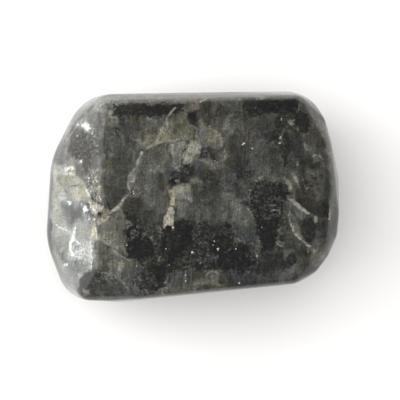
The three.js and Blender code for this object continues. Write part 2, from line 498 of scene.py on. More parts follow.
# %% Mottled grains
MOTTLED_GRAINS = {
    "right of the long grain": (0.7, [
        (1.0, 2.2), (1.4, 2.9), (2.2, 3.0), (3.0, 2.3), (3.1, 1.6), (2.4, 1.3), (1.4, 1.5),
    ]),
    "left of the right grain": (0.7, [
        (5.3, 3.0), (5.9, 3.5), (6.8, 3.3), (7.5, 3.1), (7.5, 2.5), (6.9, 2.1), (6.2, 1.9), (5.6, 2.2),
    ]),
    "dark speckle": (0.5, [(4.4, 3.2), (5.3, 4.3), (6.0, 4.0), (5.4, 2.9)]),
    "left front ring": (0.85, [
        (-8.0, -4.3), (-7.3, -3.2), (-6.0, -3.1), (-5.6, -4.4), (-5.8, -5.4), (-7.8, -5.4),
    ]),
    "above the left front ring": (0.45, [
        (-8.1, -1.6), (-7.4, -0.9), (-6.6, -1.4), (-6.6, -3.0), (-7.8, -3.0),
    ]),
    "front grain": (0.8, [
        (-3.3, -3.6), (-1.8, -3.2), (-0.4, -3.0), (0.3, -3.6), (0.3, -6.4), (-0.8, -6.9), (-1.8, -8.6),
        (-2.9, -9.0), (-5.1, -9.2), (-5.1, -8.2), (-3.9, -7.7), (-4.1, -6.0), (-3.7, -4.2),
    ]),
    "front, right of the grain": (0.65, [
        (0.2, -3.2), (2.9, -3.3), (4.8, -4.4), (4.8, -6.4), (3.0, -6.6), (2.8, -8.6), (0.4, -8.8),
        (-1.6, -8.6), (-0.8, -6.8), (0.2, -6.3),
    ]),
    "middle front": (0.8, [
        (2.9, -4.8), (4.9, -4.6), (5.2, -5.9), (6.8, -5.8), (7.1, -6.8), (8.0, -7.8), (8.2, -9.2),
        (5.8, -9.3), (4.4, -9.1), (1.7, -8.8), (2.7, -7.2), (1.9, -6.2), (1.8, -5.3),
    ]),
    "purple-grey grain": (0.45, [
        (8.2, -6.7), (10.8, -6.4), (11.6, -7.4), (11.2, -9.0), (9.6, -9.6), (8.3, -9.3),
    ]),
    "left front speckle": (0.45, [
        (-5.2, -7.4), (-3.4, -7.2), (-2.6, -8.4), (-4.4, -9.6), (-5.6, -9.2), (-6.4, -8.0),
    ]),
    "corner crystal": (0.4, [
        (-13.6, -10.2), (-12.3, -9.0), (-11.0, -9.2), (-9.9, -10.4), (-10.4, -12.4), (-13.6, -12.6),
    ]),
    "long grain": (0.45, [
        (-2.5, 1.9), (-2.35, 2.7), (-1.8, 3.1), (-1.2, 3.5), (-0.6, 3.85), (-0.05, 3.9), (0.2, 3.4),
        (0.0, 2.9), (-0.5, 2.4), (-1.0, 2.05), (-1.6, 1.7), (-2.3, 1.65),
    ]),
    "block beside the pale crystal": (0.4, [
        (0.8, 5.8), (1.5, 5.9), (2.1, 5.5), (2.2, 5.0), (2.8, 4.6), (2.2, 4.5), (1.0, 4.9),
    ]),
    "right grain": (0.8, [
        (7.3, 1.7), (9.3, 1.8), (10.6, 1.7), (11.5, 1.5), (12.1, 0.8), (12.0, 0.2), (11.6, -0.2),
        (11.4, -0.8), (11.0, -1.4), (10.9, -2.8), (10.4, -4.0), (10.3, -5.0), (10.2, -5.9),
        (9.2, -6.8), (8.6, -5.8), (7.9, -4.6), (7.6, -3.6), (7.4, -2.4), (7.0, -1.8), (6.3, -1.1),
        (6.3, -0.6), (6.9, -0.4), (7.0, 0.6),
    ]),
    "slope": (0.25, [
        (-14.5, 8.0), (-13.3, 7.9), (-12.2, 7.2), (-11.9, 6.0), (-12.3, 4.4), (-12.6, 3.2),
        (-13.3, 3.4), (-13.7, 4.8), (-15.0, 5.8),
    ]),
    "foot of the front grain": (0.6, [
        (-7.3, -9.6), (-5.4, -9.0), (-3.4, -9.2), (-3.5, -10.6), (-4.4, -11.4), (-6.4, -11.4),
        (-7.2, -10.8),
    ]),
}
print("mottled grains:", len(MOTTLED_GRAINS))

# %% Granular areas
GRANULAR = {
    "around the front grain": (0.7, [
        (-5.2, -3.2), (-3.2, -3.4), (-3.0, -8.0), (-6.2, -9.6), (-6.4, -8.0), (-5.0, -6.4),
    ]),
    "right of the front grain": (0.65, [
        (0.2, -3.0), (5.2, -3.2), (8.2, -6.4), (8.4, -9.4), (0.2, -9.2), (-2.6, -9.2), (-0.6, -6.6),
    ]),
    "foot": (0.7, [(-6.4, -9.6), (-2.8, -9.2), (-2.8, -11.8), (-6.4, -11.8)]),
    "right grain": (0.8, [
        (6.2, -0.2), (7.8, 1.9), (11.6, 1.9), (12.2, 0.4), (11.2, -1.2), (11.4, -6.2), (8.4, -6.8),
        (7.4, -2.0),
    ]),
    "right, brown": (0.8, [(13.2, 3.0), (15.2, 2.6), (15.2, 0.6), (13.2, 0.6)]),
    "right back": (0.5, [(10.2, 10.2), (14.2, 9.8), (14.2, 8.0), (10.2, 8.0)]),
    "back loop": (0.8, [
        (8.8, 8.2), (11.6, 8.2), (12.2, 6.4), (11.6, 3.6), (10.6, 3.8), (10.6, 6.0), (9.2, 6.6),
    ]),
    "back strip": (0.5, [(-9.8, 11.0), (-1.0, 11.0), (-3.4, 9.4), (-9.6, 9.2)]),
    "left front ring": (0.9, box(-8.2, -2.8, -5.6, -5.4)),
    "slope": (0.9, [
        (-14.7, 8.4), (-13.9, 8.6), (-13.3, 8.1), (-12.4, 7.9), (-11.8, 7.2), (-11.5, 6.0),
        (-11.6, 5.0), (-12.1, 4.2), (-12.3, 2.9), (-13.4, 2.9), (-13.6, 4.6), (-14.6, 4.7),
        (-15.4, 5.6), (-15.3, 7.0),
    ]),
    # The sparkling patch is partly salt-and-pepper rock and partly painted sparkle: light and dark specks
    # in the colour stand for the window's light glittering on it.
    "slope, sparkling": (0.75, [
        (-13.2, 3.2), (-11.9, 3.2), (-10.95, 1.2), (-10.9, -0.9), (-12.6, -0.9), (-12.7, 0.4),
        (-13.2, 1.4),
    ]),
    "slope, around the knot": (0.8, [
        (-13.6, -0.6), (-12.5, -0.6), (-12.4, -2.2), (-11.6, -2.4), (-11.8, -3.0), (-12.8, -2.6),
        (-13.6, -1.6),
    ]),
    "slope, front": (0.4, [(-14.8, -5.2), (-13.4, -5.2), (-12.6, -6.0), (-12.6, -8.4), (-14.6, -8.4)]),
    "long grain": (0.8, [(-2.5, 1.6), (-2.4, 2.8), (-0.6, 3.9), (0.3, 3.8), (0.0, 2.8), (-1.4, 1.7)]),
    "block": (0.9, [(0.8, 5.9), (2.2, 5.8), (2.8, 4.5), (0.9, 4.8)]),
}
print("granular areas:", len(GRANULAR))

# %% [markdown]
# ## Thin black lines and rings
# Ore also lies in thin films between the crystals, and a film cut across shows as a line, or
# as a ring around a rounded crystal. A narrow outline could draw it, but a thread needs only a
# few stops and a width, and a ring only its middle and its size.

# %% Black threads and rings
# x, y and width at each stop.
BLACK_THREADS = {
    "under the tongue": (0.7, [(0.25, 9.0, 0.3), (0.35, 8.0, 0.2), (0.35, 7.0, 0.1)]),
    "under the tongue, left": (0.5, [(-0.15, 8.8, 0.1), (-0.2, 7.4, 0.1)]),
    "under the block": (0.6, [(0.9, 5.3, 0.1), (1.6, 5.0, 0.2), (2.3, 4.8, 0.3), (2.9, 4.5, 0.15)]),
    "arc in the left corner": (0.7, [
        (-13.6, -10.2, 0.3), (-12.8, -9.4, 0.25), (-11.7, -8.95, 0.2), (-10.6, -9.5, 0.2),
    ]),
    "below the olive crystal": (0.35, [(-2.7, 6.6, 0.1), (-1.0, 6.8, 0.15), (-0.3, 6.3, 0.1)]),
    "left of the right grain": (0.5, [(6.9, 8.4, 0.1), (6.9, 7.0, 0.2), (7.1, 5.6, 0.1)]),
    "edge of the back strip": (0.5, [(3.6, 11.4, 0.1), (3.0, 10.4, 0.2), (2.7, 9.0, 0.1)]),
    "line on the slope": (0.6, [(-14.9, 1.45, 0.12), (-14.2, 1.35, 0.15), (-13.4, 1.5, 0.1)]),
    "upper line on the slope": (0.35, [(-16.5, 2.45, 0.1), (-15.2, 2.35, 0.15), (-14.0, 2.45, 0.1)]),
    "spot on the slope": (0.9, [(-15.75, 0.7, 0.2), (-15.55, 0.68, 0.2)]),
    "edge of the knot": (0.8, [(-12.15, -0.25, 0.1), (-11.7, -0.6, 0.15), (-11.2, -0.95, 0.12)]),
    "specks above the knot": (0.7, [(-12.3, 0.45, 0.15), (-12.1, 0.2, 0.3), (-12.0, -0.1, 0.1)]),
    "specks in the sparkle": (0.6, [(-12.55, 2.5, 0.2), (-12.4, 2.1, 0.1), (-12.35, 1.6, 0.2)]),
    "left of the knot": (0.6, [
        (-13.1, -0.7, 0.1), (-12.6, -1.1, 0.15), (-12.5, -1.9, 0.2), (-12.0, -2.35, 0.15),
    ]),
    "rim of the slope": (0.5, [(-13.5, 10.1, 0.35), (-14.3, 9.35, 0.25), (-15.1, 8.3, 0.12)]),
    "dot on the slope": (0.7, [(-11.2, 9.2, 0.2), (-11.1, 9.15, 0.2)]),
    "dot on the corner": (0.6, [(-10.3, 10.7, 0.25), (-10.1, 10.7, 0.25)]),
    "granules under the white": (0.5, [(-14.3, -7.9, 0.2), (-13.9, -7.8, 0.25), (-13.4, -8.2, 0.1)]),
    "dark line, right back rim": (0.5, [(15.7, 8.4, 0.1), (16.1, 7.8, 0.2), (16.25, 7.0, 0.15)]),
    "stripes at the right corner": (0.6, [(13.6, -9.0, 0.15), (13.8, -9.5, 0.2), (14.2, -9.9, 0.1)]),
    "second stripe at the corner": (0.5, [(14.1, -9.0, 0.1), (14.4, -9.4, 0.15)]),
    "by the drop": (0.7, [(13.7, -6.7, 0.2), (13.95, -7.0, 0.25)]),
    "right outline": (0.5, [(15.8, -8.0, 0.15), (15.4, -8.6, 0.2)]),
    "spot in the olive crystal": (0.45, [(-2.15, 8.0, 0.3), (-1.95, 8.0, 0.35)]),
    "speck by the glint": (0.9, [(-7.45, 0.75, 0.3), (-7.3, 0.4, 0.35), (-7.5, 1.1, 0.15)]),
    "streaks beside the tongue": (0.4, [(0.75, 9.6, 0.1), (0.8, 8.6, 0.15), (0.75, 7.6, 0.08)]),
    "loop, left": (0.8, [(9.2, 7.6, 0.25), (9.6, 7.9, 0.45), (10.3, 7.7, 0.35), (10.9, 7.9, 0.25)]),
    "loop, right": (0.8, [
        (11.3, 7.4, 0.4), (11.7, 6.6, 0.6), (11.8, 5.6, 0.7), (11.4, 5.0, 0.5), (11.3, 4.4, 0.35),
        (11.3, 3.6, 0.2),
    ]),
    "long grain, edge": (0.6, [
        (-2.45, 2.0, 0.2), (-2.4, 2.8, 0.2), (-1.9, 3.2, 0.25), (-1.2, 3.55, 0.2), (-0.5, 3.95, 0.3),
        (0.05, 3.8, 0.25), (0.1, 3.2, 0.25), (-0.4, 2.5, 0.2), (-1.0, 2.05, 0.25), (-1.7, 1.7, 0.25),
    ]),
    "crack by the long vein": (0.6, [(-10.45, -0.2, 0.15), (-10.2, -0.9, 0.25), (-9.85, -1.5, 0.15)]),
    "pit at the vein's end": (1.1, [(-11.25, -2.1, 0.3), (-11.0, -2.25, 0.32)]),
}
# Strength, x and y, width of the ring, and width of its line.
RINGS = {
    "left front": (0.9, -7.0, -4.4, 1.5, 0.4),
    "left": (0.7, -7.4, -2.2, 1.1, 0.3),
    "front right": (0.9, 12.15, -7.7, 0.9, 0.4),
    "back, middle": (0.6, 1.5, 5.4, 1.05, 0.22),
    "back, right": (0.9, 13.7, 8.8, 0.75, 0.4),
    "right, brown": (0.8, 13.9, 1.25, 0.9, 0.25),
    "in the loop": (0.7, 11.3, 6.1, 0.8, 0.25),
    "in the loop, low": (0.6, 10.9, 5.3, 0.6, 0.2),
    "round grain, left": (0.35, -8.9, 6.5, 2.6, 0.15),
}
print("black threads:", len(BLACK_THREADS), "- rings:", len(RINGS))

# %% [markdown]
# ## Veins and pale crystals
# Pale feldspar and a little calcite fill old cracks. A vein is a thread with a width at each
# stop, and a pale crystal is an outline. A faint one has a low strength, so that it shows as a
# line that is only a little lighter than the rock.

# %% Veins
VEINS = {
    "long vein, upper": (0.75, [
        (-6.1, 5.4, 0.3), (-6.5, 4.4, 0.3), (-6.8, 3.7, 0.15), (-7.25, 3.1, 0.2),
    ]),
    "long vein, lower": (0.8, [
        (-7.4, 0.6, 0.12), (-8.2, -0.2, 0.22), (-8.6, -0.8, 0.3), (-9.0, -1.15, 0.45),
        (-9.5, -1.5, 0.4), (-10.0, -1.9, 0.22), (-10.9, -2.3, 0.18),
    ]),
    "olive crystal, middle": (0.25, [(-2.6, 6.7, 0.2), (-1.6, 7.0, 0.3), (-0.8, 7.0, 0.2)]),
    "left of the olive crystal": (0.35, [(-6.9, 7.0, 0.2), (-6.4, 6.8, 0.5), (-6.1, 6.4, 0.3)]),
    "left front vein": (0.5, [
        (-11.1, -5.2, 0.2), (-10.5, -5.7, 0.35), (-9.9, -6.1, 0.2), (-9.3, -6.8, 0.25),
        (-8.6, -7.2, 0.15), (-8.0, -7.5, 0.3), (-7.5, -7.6, 0.1),
    ]),
    "left front, faint": (0.3, [
        (-11.4, -9.2, 0.1), (-9.8, -9.5, 0.2), (-8.7, -10.1, 0.25), (-7.6, -11.3, 0.15),
    ]),
    "round grain, faint": (0.2, [
        (-9.1, 8.1, 0.15), (-8.5, 7.5, 0.15), (-8.3, 6.4, 0.2), (-8.4, 5.4, 0.1),
    ]),
    "back rim": (0.6, [(1.0, 11.5, 0.25), (1.5, 11.8, 0.2), (2.2, 12.1, 0.12)]),
    "front edge": (0.5, [(-3.5, -11.2, 0.3), (-3.5, -12.1, 0.35)]),
    "crescent edge": (0.35, [(5.9, -0.9, 0.1), (6.8, -1.5, 0.18), (7.3, -2.3, 0.2), (7.5, -3.3, 0.1)]),
    "over the right grain": (0.3, [(8.3, 2.4, 0.1), (9.6, 2.4, 0.15), (10.4, 2.2, 0.1)]),
    "level line": (0.15, [(-0.1, -0.3, 0.15), (2.4, -0.35, 0.12), (5.0, -0.3, 0.1)]),
    "streak in the middle": (0.2, [(3.6, 1.6, 0.12), (4.0, 1.2, 0.18), (4.2, 0.8, 0.1)]),
    "front, thin vertical": (0.25, [(-0.8, -8.9, 0.1), (-0.85, -10.4, 0.25), (-1.1, -11.3, 0.15)]),
    "slope, rim line": (0.5, [
        (-14.05, 8.85, 0.25), (-14.7, 8.1, 0.2), (-15.4, 7.2, 0.18), (-15.9, 6.5, 0.15),
    ]),
    "slope, streak": (0.35, [(-17.1, -5.3, 0.15), (-16.4, -5.5, 0.2), (-15.7, -5.4, 0.1)]),
    "slope, lamella": (0.35, [(-14.9, 0.75, 0.12), (-14.3, 0.8, 0.15), (-13.6, 0.7, 0.1)]),
    "slope, lamella below": (0.35, [(-14.9, 0.3, 0.1), (-14.2, 0.3, 0.15), (-13.6, 0.35, 0.1)]),
    "slope, lamella above": (0.3, [(-16.6, 1.95, 0.12), (-15.4, 1.9, 0.2), (-14.2, 2.0, 0.12)]),
    "right back arc": (0.7, [(14.5, 4.8, 0.08), (14.9, 5.05, 0.16), (15.5, 4.9, 0.1)]),
    "right back arc, second": (0.6, [(15.55, 5.2, 0.08), (15.65, 4.75, 0.14), (16.1, 4.4, 0.08)]),
    "right vein, fan": (0.4, [(11.2, 2.3, 0.5), (11.8, 1.6, 0.5), (12.2, 0.8, 0.15)]),
    "right vein, fan upper": (0.5, [
        (12.1, 2.9, 0.25), (12.4, 2.4, 0.5), (12.9, 1.6, 0.3), (13.1, 1.0, 0.1),
    ]),
    "right vein, blob": (0.4, [(14.95, -2.6, 0.4), (15.0, -2.95, 0.45)]),
    "right vein, beside it": (0.2, [
        (11.8, -1.8, 0.2), (12.4, -2.8, 0.7), (12.8, -4.0, 0.5), (13.3, -5.2, 0.15),
    ]),
    "right vein, end": (0.45, [(14.4, -6.4, 0.2), (14.8, -6.5, 0.45), (15.2, -6.5, 0.2)]),
    "right vein, drop": (0.4, [(14.05, -6.2, 0.2), (14.05, -6.6, 0.25)]),
    "right rim, low": (0.45, [(15.75, -7.3, 0.2), (15.85, -7.7, 0.2)]),
    "right end": (0.8, [(16.85, -1.3, 0.12), (16.85, -2.0, 0.3), (16.75, -2.75, 0.2)]),
    "arch in the right grain": (0.6, [
        (9.5, -1.85, 0.08), (10.0, -1.6, 0.14), (10.5, -1.8, 0.1), (10.7, -2.2, 0.06),
    ]),
    "line in the right grain": (0.4, [(9.2, -1.0, 0.08), (9.8, -1.1, 0.12), (10.4, -0.9, 0.06)]),
    "olive crystal, back edge": (0.5, [
        (-1.95, 10.85, 0.18), (-2.5, 10.35, 0.2), (-2.95, 9.6, 0.22), (-3.05, 9.0, 0.3),
        (-2.9, 8.6, 0.2),
    ]),
    "olive crystal, left edge": (0.5, [
        (-3.1, 9.1, 0.16), (-3.5, 8.4, 0.18), (-4.0, 7.4, 0.2), (-4.15, 6.8, 0.32), (-4.7, 6.35, 0.3),
        (-5.4, 5.9, 0.2),
    ]),
    "olive crystal, lower edge": (0.45, [(-4.1, 6.6, 0.3), (-3.2, 6.8, 0.2), (-2.4, 6.9, 0.16)]),
    "fine vertical": (0.45, [
        (-2.45, 6.3, 0.4), (-2.3, 5.7, 0.3), (-2.2, 4.6, 0.2), (-2.35, 3.5, 0.18),
    ]),
    "cloud edge": (0.3, [(2.6, 8.2, 0.2), (3.3, 7.6, 0.25), (3.75, 6.8, 0.3), (3.5, 6.1, 0.2)]),
    "cloud edge, lower": (0.3, [(3.8, 5.9, 0.2), (4.05, 5.2, 0.3), (3.9, 4.5, 0.25), (3.3, 4.4, 0.15)]),
    "under the block, grey": (0.25, [
        (1.0, 4.6, 0.3), (1.8, 4.3, 0.4), (2.6, 3.7, 0.3), (3.1, 3.2, 0.15),
    ]),
    "smile, second": (0.5, [(10.5, -5.35, 0.14), (10.8, -5.6, 0.18), (11.2, -5.55, 0.14)]),
    "right vein, lower": (0.75, [
        (11.7, -2.2, 0.16), (12.0, -3.4, 0.24), (12.3, -4.2, 0.32), (12.8, -4.85, 0.28),
        (13.4, -5.45, 0.24), (13.9, -5.85, 0.26), (14.5, -6.0, 0.16),
    ]),
    "right vein, start": (0.65, [
        (11.7, -0.25, 0.12), (12.3, -0.5, 0.4), (13.0, -1.15, 0.5), (13.6, -1.75, 0.4),
        (14.0, -2.1, 0.2),
    ]),
    "smile": (0.75, [(10.3, -5.6, 0.14), (10.5, -5.8, 0.22), (10.9, -5.95, 0.22), (11.2, -5.95, 0.14)]),
    "pale crystal at the front, edge": (0.35, [
        (1.7, -9.7, 0.15), (1.95, -9.2, 0.22), (2.4, -9.05, 0.25), (3.0, -9.15, 0.15),
    ]),
    "right vein, middle": (0.5, [
        (13.9, -1.95, 0.3), (14.2, -2.1, 0.18), (14.6, -2.25, 0.12), (15.0, -2.4, 0.2),
    ]),
}
print("veins:", len(VEINS))

# %% Pale crystals
PALE_CRYSTALS = {
    "lens in the long vein": (0.55, [
        (-7.3, 3.2), (-6.9, 2.8), (-6.85, 2.0), (-7.15, 1.2), (-7.5, 0.8), (-7.9, 1.0), (-7.85, 1.7),
        (-7.7, 2.5),
    ]),
    "under the long grain": (0.2, [(-2.4, 1.3), (-1.5, 1.3), (-0.9, 0.9), (-1.1, 0.0), (-2.3, 0.2)]),
    "pink spot in the long grain": (0.4, [(-2.1, 2.1), (-1.8, 2.2), (-1.7, 1.9), (-2.0, 1.8)]),
    "fleck, right back": (0.35, [(11.6, 9.3), (12.1, 9.3), (12.3, 8.8), (12.0, 8.5), (11.7, 8.9)]),
    "fleck over the right grain": (0.5, [(7.9, 2.35), (8.3, 2.5), (8.6, 2.35), (8.2, 2.15)]),
    "fleck, right": (0.6, [(12.6, 4.3), (12.85, 4.3), (12.9, 3.8), (12.65, 3.75)]),
    "wedge under the middle": (0.95, [
        (-2.85, -1.2), (-2.4, -1.2), (-2.1, -1.9), (-2.3, -2.5), (-2.3, -3.2), (-2.4, -3.6),
        (-2.9, -3.4), (-3.4, -4.0), (-3.4, -2.2), (-3.0, -2.0),
    ]),
    "cleaved crystal, upper": (0.5, [(-0.1, 5.6), (0.3, 6.5), (1.1, 6.2), (1.1, 5.4), (0.4, 5.2)]),
    "cleaved crystal, lower": (0.6, [
        (-1.0, 4.2), (-0.9, 4.9), (-0.5, 5.5), (0.2, 5.7), (0.3, 5.0), (0.1, 4.6), (0.0, 4.2),
        (-0.5, 3.9),
    ]),
}
print("pale crystals:", len(PALE_CRYSTALS))

# %% [markdown]
# ## White crystals and painted glints
# On the sloping end, crushed feldspar shows as white granules and hooked lines. Glints are
# cleavage faces that catch the light. They could be left to the gloss, but a smooth polish has
# no small tilted faces, so each is a painted highlight: a nearly white spot in the colour.

# %% White crystals and lines
WHITE_CRYSTALS = {
    "cream block": (0.7, [(-15.75, 3.7), (-14.5, 3.65), (-14.45, 3.3), (-15.7, 3.25)]),
    "cream block, lower": (0.5, [(-15.6, 2.95), (-14.5, 2.95), (-14.5, 2.75), (-15.5, 2.7)]),
    "front granules": (0.12, [
        (-13.7, -5.2), (-12.2, -5.4), (-12.1, -8.0), (-12.8, -7.9), (-13.6, -7.3), (-13.9, -6.2),
    ]),
    "granule, middle": (1.0, [
        (-13.25, -1.1), (-12.95, -1.2), (-12.65, -1.6), (-12.9, -1.8), (-13.2, -1.7),
    ]),
    "granule, left": (0.7, [(-15.35, -0.55), (-15.0, -0.55), (-15.0, -0.95), (-15.3, -0.9)]),
    "fleck on the front slope": (0.8, [(-15.6, -8.2), (-15.35, -8.2), (-15.4, -8.6), (-15.6, -8.55)]),
    "fleck under the rust": (0.8, [(-13.9, 4.5), (-13.5, 4.5), (-13.5, 4.1), (-13.8, 4.1)]),
    "back patch": (0.9, [
        (-13.35, 9.3), (-13.05, 9.3), (-12.8, 8.8), (-12.5, 8.7), (-12.5, 8.3), (-12.8, 8.2),
        (-13.25, 8.5), (-13.6, 8.8),
    ]),
}
WHITE_THREADS = {
    "front arc": (0.7, [
        (-14.35, -3.8, 0.35), (-14.6, -4.8, 0.45), (-14.95, -5.7, 0.3), (-14.9, -6.5, 0.4),
        (-14.5, -7.2, 0.25),
    ]),
    "foot of the arc": (0.6, [(-15.2, -7.1, 0.15), (-14.8, -7.1, 0.3), (-14.2, -7.3, 0.15)]),
    "inside the arc": (0.5, [(-14.5, -5.0, 0.2), (-13.9, -5.7, 0.25), (-13.4, -6.0, 0.2)]),
    "inside the arc, lower": (0.5, [(-14.3, -6.9, 0.15), (-13.6, -6.6, 0.3), (-13.1, -6.0, 0.3)]),
    "edge of the white": (0.5, [(-12.4, -5.6, 0.3), (-12.3, -7.2, 0.3), (-12.2, -8.8, 0.2)]),
    "spots behind": (0.4, [(-12.1, 8.3, 0.1), (-12.2, 7.9, 0.1), (-12.25, 7.7, 0.25)]),
    "rim": (0.5, [(-14.1, 8.9, 0.3), (-14.0, 8.75, 0.25)]),
    "left line": (0.5, [(-17.2, -3.1, 0.1), (-16.2, -3.85, 0.25), (-15.2, -4.2, 0.15)]),
    "streak by the knot": (0.6, [(-11.2, 0.8, 0.1), (-11.15, 0.0, 0.18), (-11.05, -0.6, 0.1)]),
    "hook on the knot": (0.8, [(-11.3, -1.6, 0.1), (-11.0, -1.3, 0.2), (-10.9, -1.1, 0.1)]),
    "cream, left end": (0.5, [(-13.0, 1.0, 0.3), (-12.6, 0.2, 0.3)]),
}
print("white crystals:", len(WHITE_CRYSTALS), "- lines:", len(WHITE_THREADS))

# %% Painted glints
# x, y and radius of each painted highlight.
PAINTED_GLINTS = [
    (-7.15, 0.62, 0.16), (-7.0, 0.4, 0.16), (6.15, 6.35, 0.14), (6.4, 6.5, 0.16), (10.8, 9.4, 0.14),
    (12.3, 9.4, 0.14), (12.3, 8.3, 0.12), (10.75, 7.2, 0.16), (10.6, 6.55, 0.13), (9.6, 6.1, 0.1),
    (7.3, 5.9, 0.1), (11.3, 5.9, 0.1), (0.05, -6.75, 0.2), (3.15, -6.35, 0.2), (2.7, -5.4, 0.13),
    (2.6, -5.85, 0.12), (8.5, -3.65, 0.16), (-6.7, -3.6, 0.1), (-6.1, -3.75, 0.08), (-2.3, -3.65, 0.18),
    (-2.15, -3.8, 0.12), (-0.8, -10.2, 0.14), (-0.8, -9.5, 0.12), (-15.75, -8.4, 0.2), (-2.85, -8.3, 0.15),
    (-6.7, -8.4, 0.12), (-7.95, -5.85, 0.12), (-4.8, -8.1, 0.1), (1.1, -7.4, 0.12), (-3.1, -6.3, 0.12),
    (5.7, -10.5, 0.14), (0.6, -9.9, 0.1), (5.3, -6.3, 0.1), (7.9, -7.2, 0.12), (-14.1, 7.5, 0.15),
    (-13.6, 4.3, 0.16), (-12.6, 2.3, 0.14), (-12.4, 0.7, 0.14), (-5.7, -11.2, 0.12), (2.1, 8.6, 0.12),
    (2.8, 4.3, 0.1), (-4.2, 1.9, 0.1), (6.7, 3.45, 0.12), (-9.5, -10.2, 0.08), (1.0, -4.5, 0.1),
]
print("glints:", len(PAINTED_GLINTS))

# %% [markdown]
# ## Rust
# Ore grains weather to rust, which seeps into the cracks and around the pits. It is a stain
# and not a grain, so most of its areas are faint, and the rock still shows through them.

# %% Rust
RUST = {
    "back rim": (0.35, [(-0.4, 11.9), (0.8, 11.8), (0.8, 10.7), (0.0, 10.5)]),
    "left streak": (0.3, [(-10.4, 4.6), (-9.9, 4.6), (-9.9, 2.5), (-10.3, 2.5)]),
    "hollow on the slope": (0.75, [(-14.5, 6.4), (-13.9, 6.3), (-13.8, 5.9), (-14.4, 5.8)]),
    "knot": (0.25, [(-12.6, -0.6), (-11.3, -0.9), (-10.9, -1.2), (-11.1, -2.0), (-12.4, -2.1)]),
    "band": (0.15, [(-12.6, -3.2), (-11.6, -2.7), (-10.9, -5.2), (-12.4, -5.0)]),
    "cream on the slope": (0.17, [(-15.1, 1.1), (-12.6, 1.2), (-12.4, -0.3), (-15.0, -0.3)]),
    "by the pit": (0.4, [
        (-11.9, -2.4), (-10.9, -1.3), (-10.3, -1.5), (-10.0, -2.4), (-10.4, -3.3), (-11.7, -3.2),
    ]),
    "wedge": (0.2, [(-3.4, -1.0), (-2.0, -1.0), (-1.9, -3.8), (-3.4, -3.8)]),
    "tan streaks": (0.3, [(-2.8, 0.9), (-1.7, 0.6), (-1.7, -1.4), (-2.8, -1.4)]),
    "pale patch": (0.12, [(-2.6, 1.5), (-0.4, 1.4), (-0.4, -0.6), (-2.4, -0.2)]),
    "back rim, mauve": (0.12, [(-8.5, 11.4), (2.5, 11.5), (2.5, 12.6), (-8.5, 12.6)]),
    "front rim, pinkish": (0.35, [
        (-0.8, -10.3), (1.2, -10.5), (2.6, -10.4), (3.9, -10.2), (3.8, -10.9), (-0.8, -11.0),
    ]),
}
RUST_THREADS = {
    "middle, left": (0.45, [(-2.6, 0.4, 0.2), (-2.6, -0.5, 0.25), (-2.75, -1.3, 0.15)]),
    "middle, right": (0.45, [(-2.05, 0.4, 0.12), (-2.05, -0.6, 0.2), (-2.15, -1.4, 0.15)]),
    "front rim": (0.35, [(0.1, -10.85, 0.15), (1.2, -10.9, 0.3), (2.4, -10.95, 0.15)]),
    "front, right side": (0.3, [(3.2, -10.3, 0.15), (3.7, -10.5, 0.25)]),
    "loop": (0.6, [(10.8, 6.7, 0.2), (10.9, 6.5, 0.15)]),
    "spots in the hollow": (0.9, [
        (-13.85, 5.7, 0.2), (-13.8, 5.4, 0.3), (-14.1, 5.0, 0.15), (-14.4, 5.3, 0.15),
    ]),
    "in the band": (0.7, [(-11.3, -2.6, 0.1), (-11.4, -3.0, 0.2), (-11.5, -3.3, 0.1)]),
    "behind the pit": (0.6, [(-10.8, -1.9, 0.2), (-10.6, -1.5, 0.1)]),
}
print("rust areas:", len(RUST), "- threads:", len(RUST_THREADS))
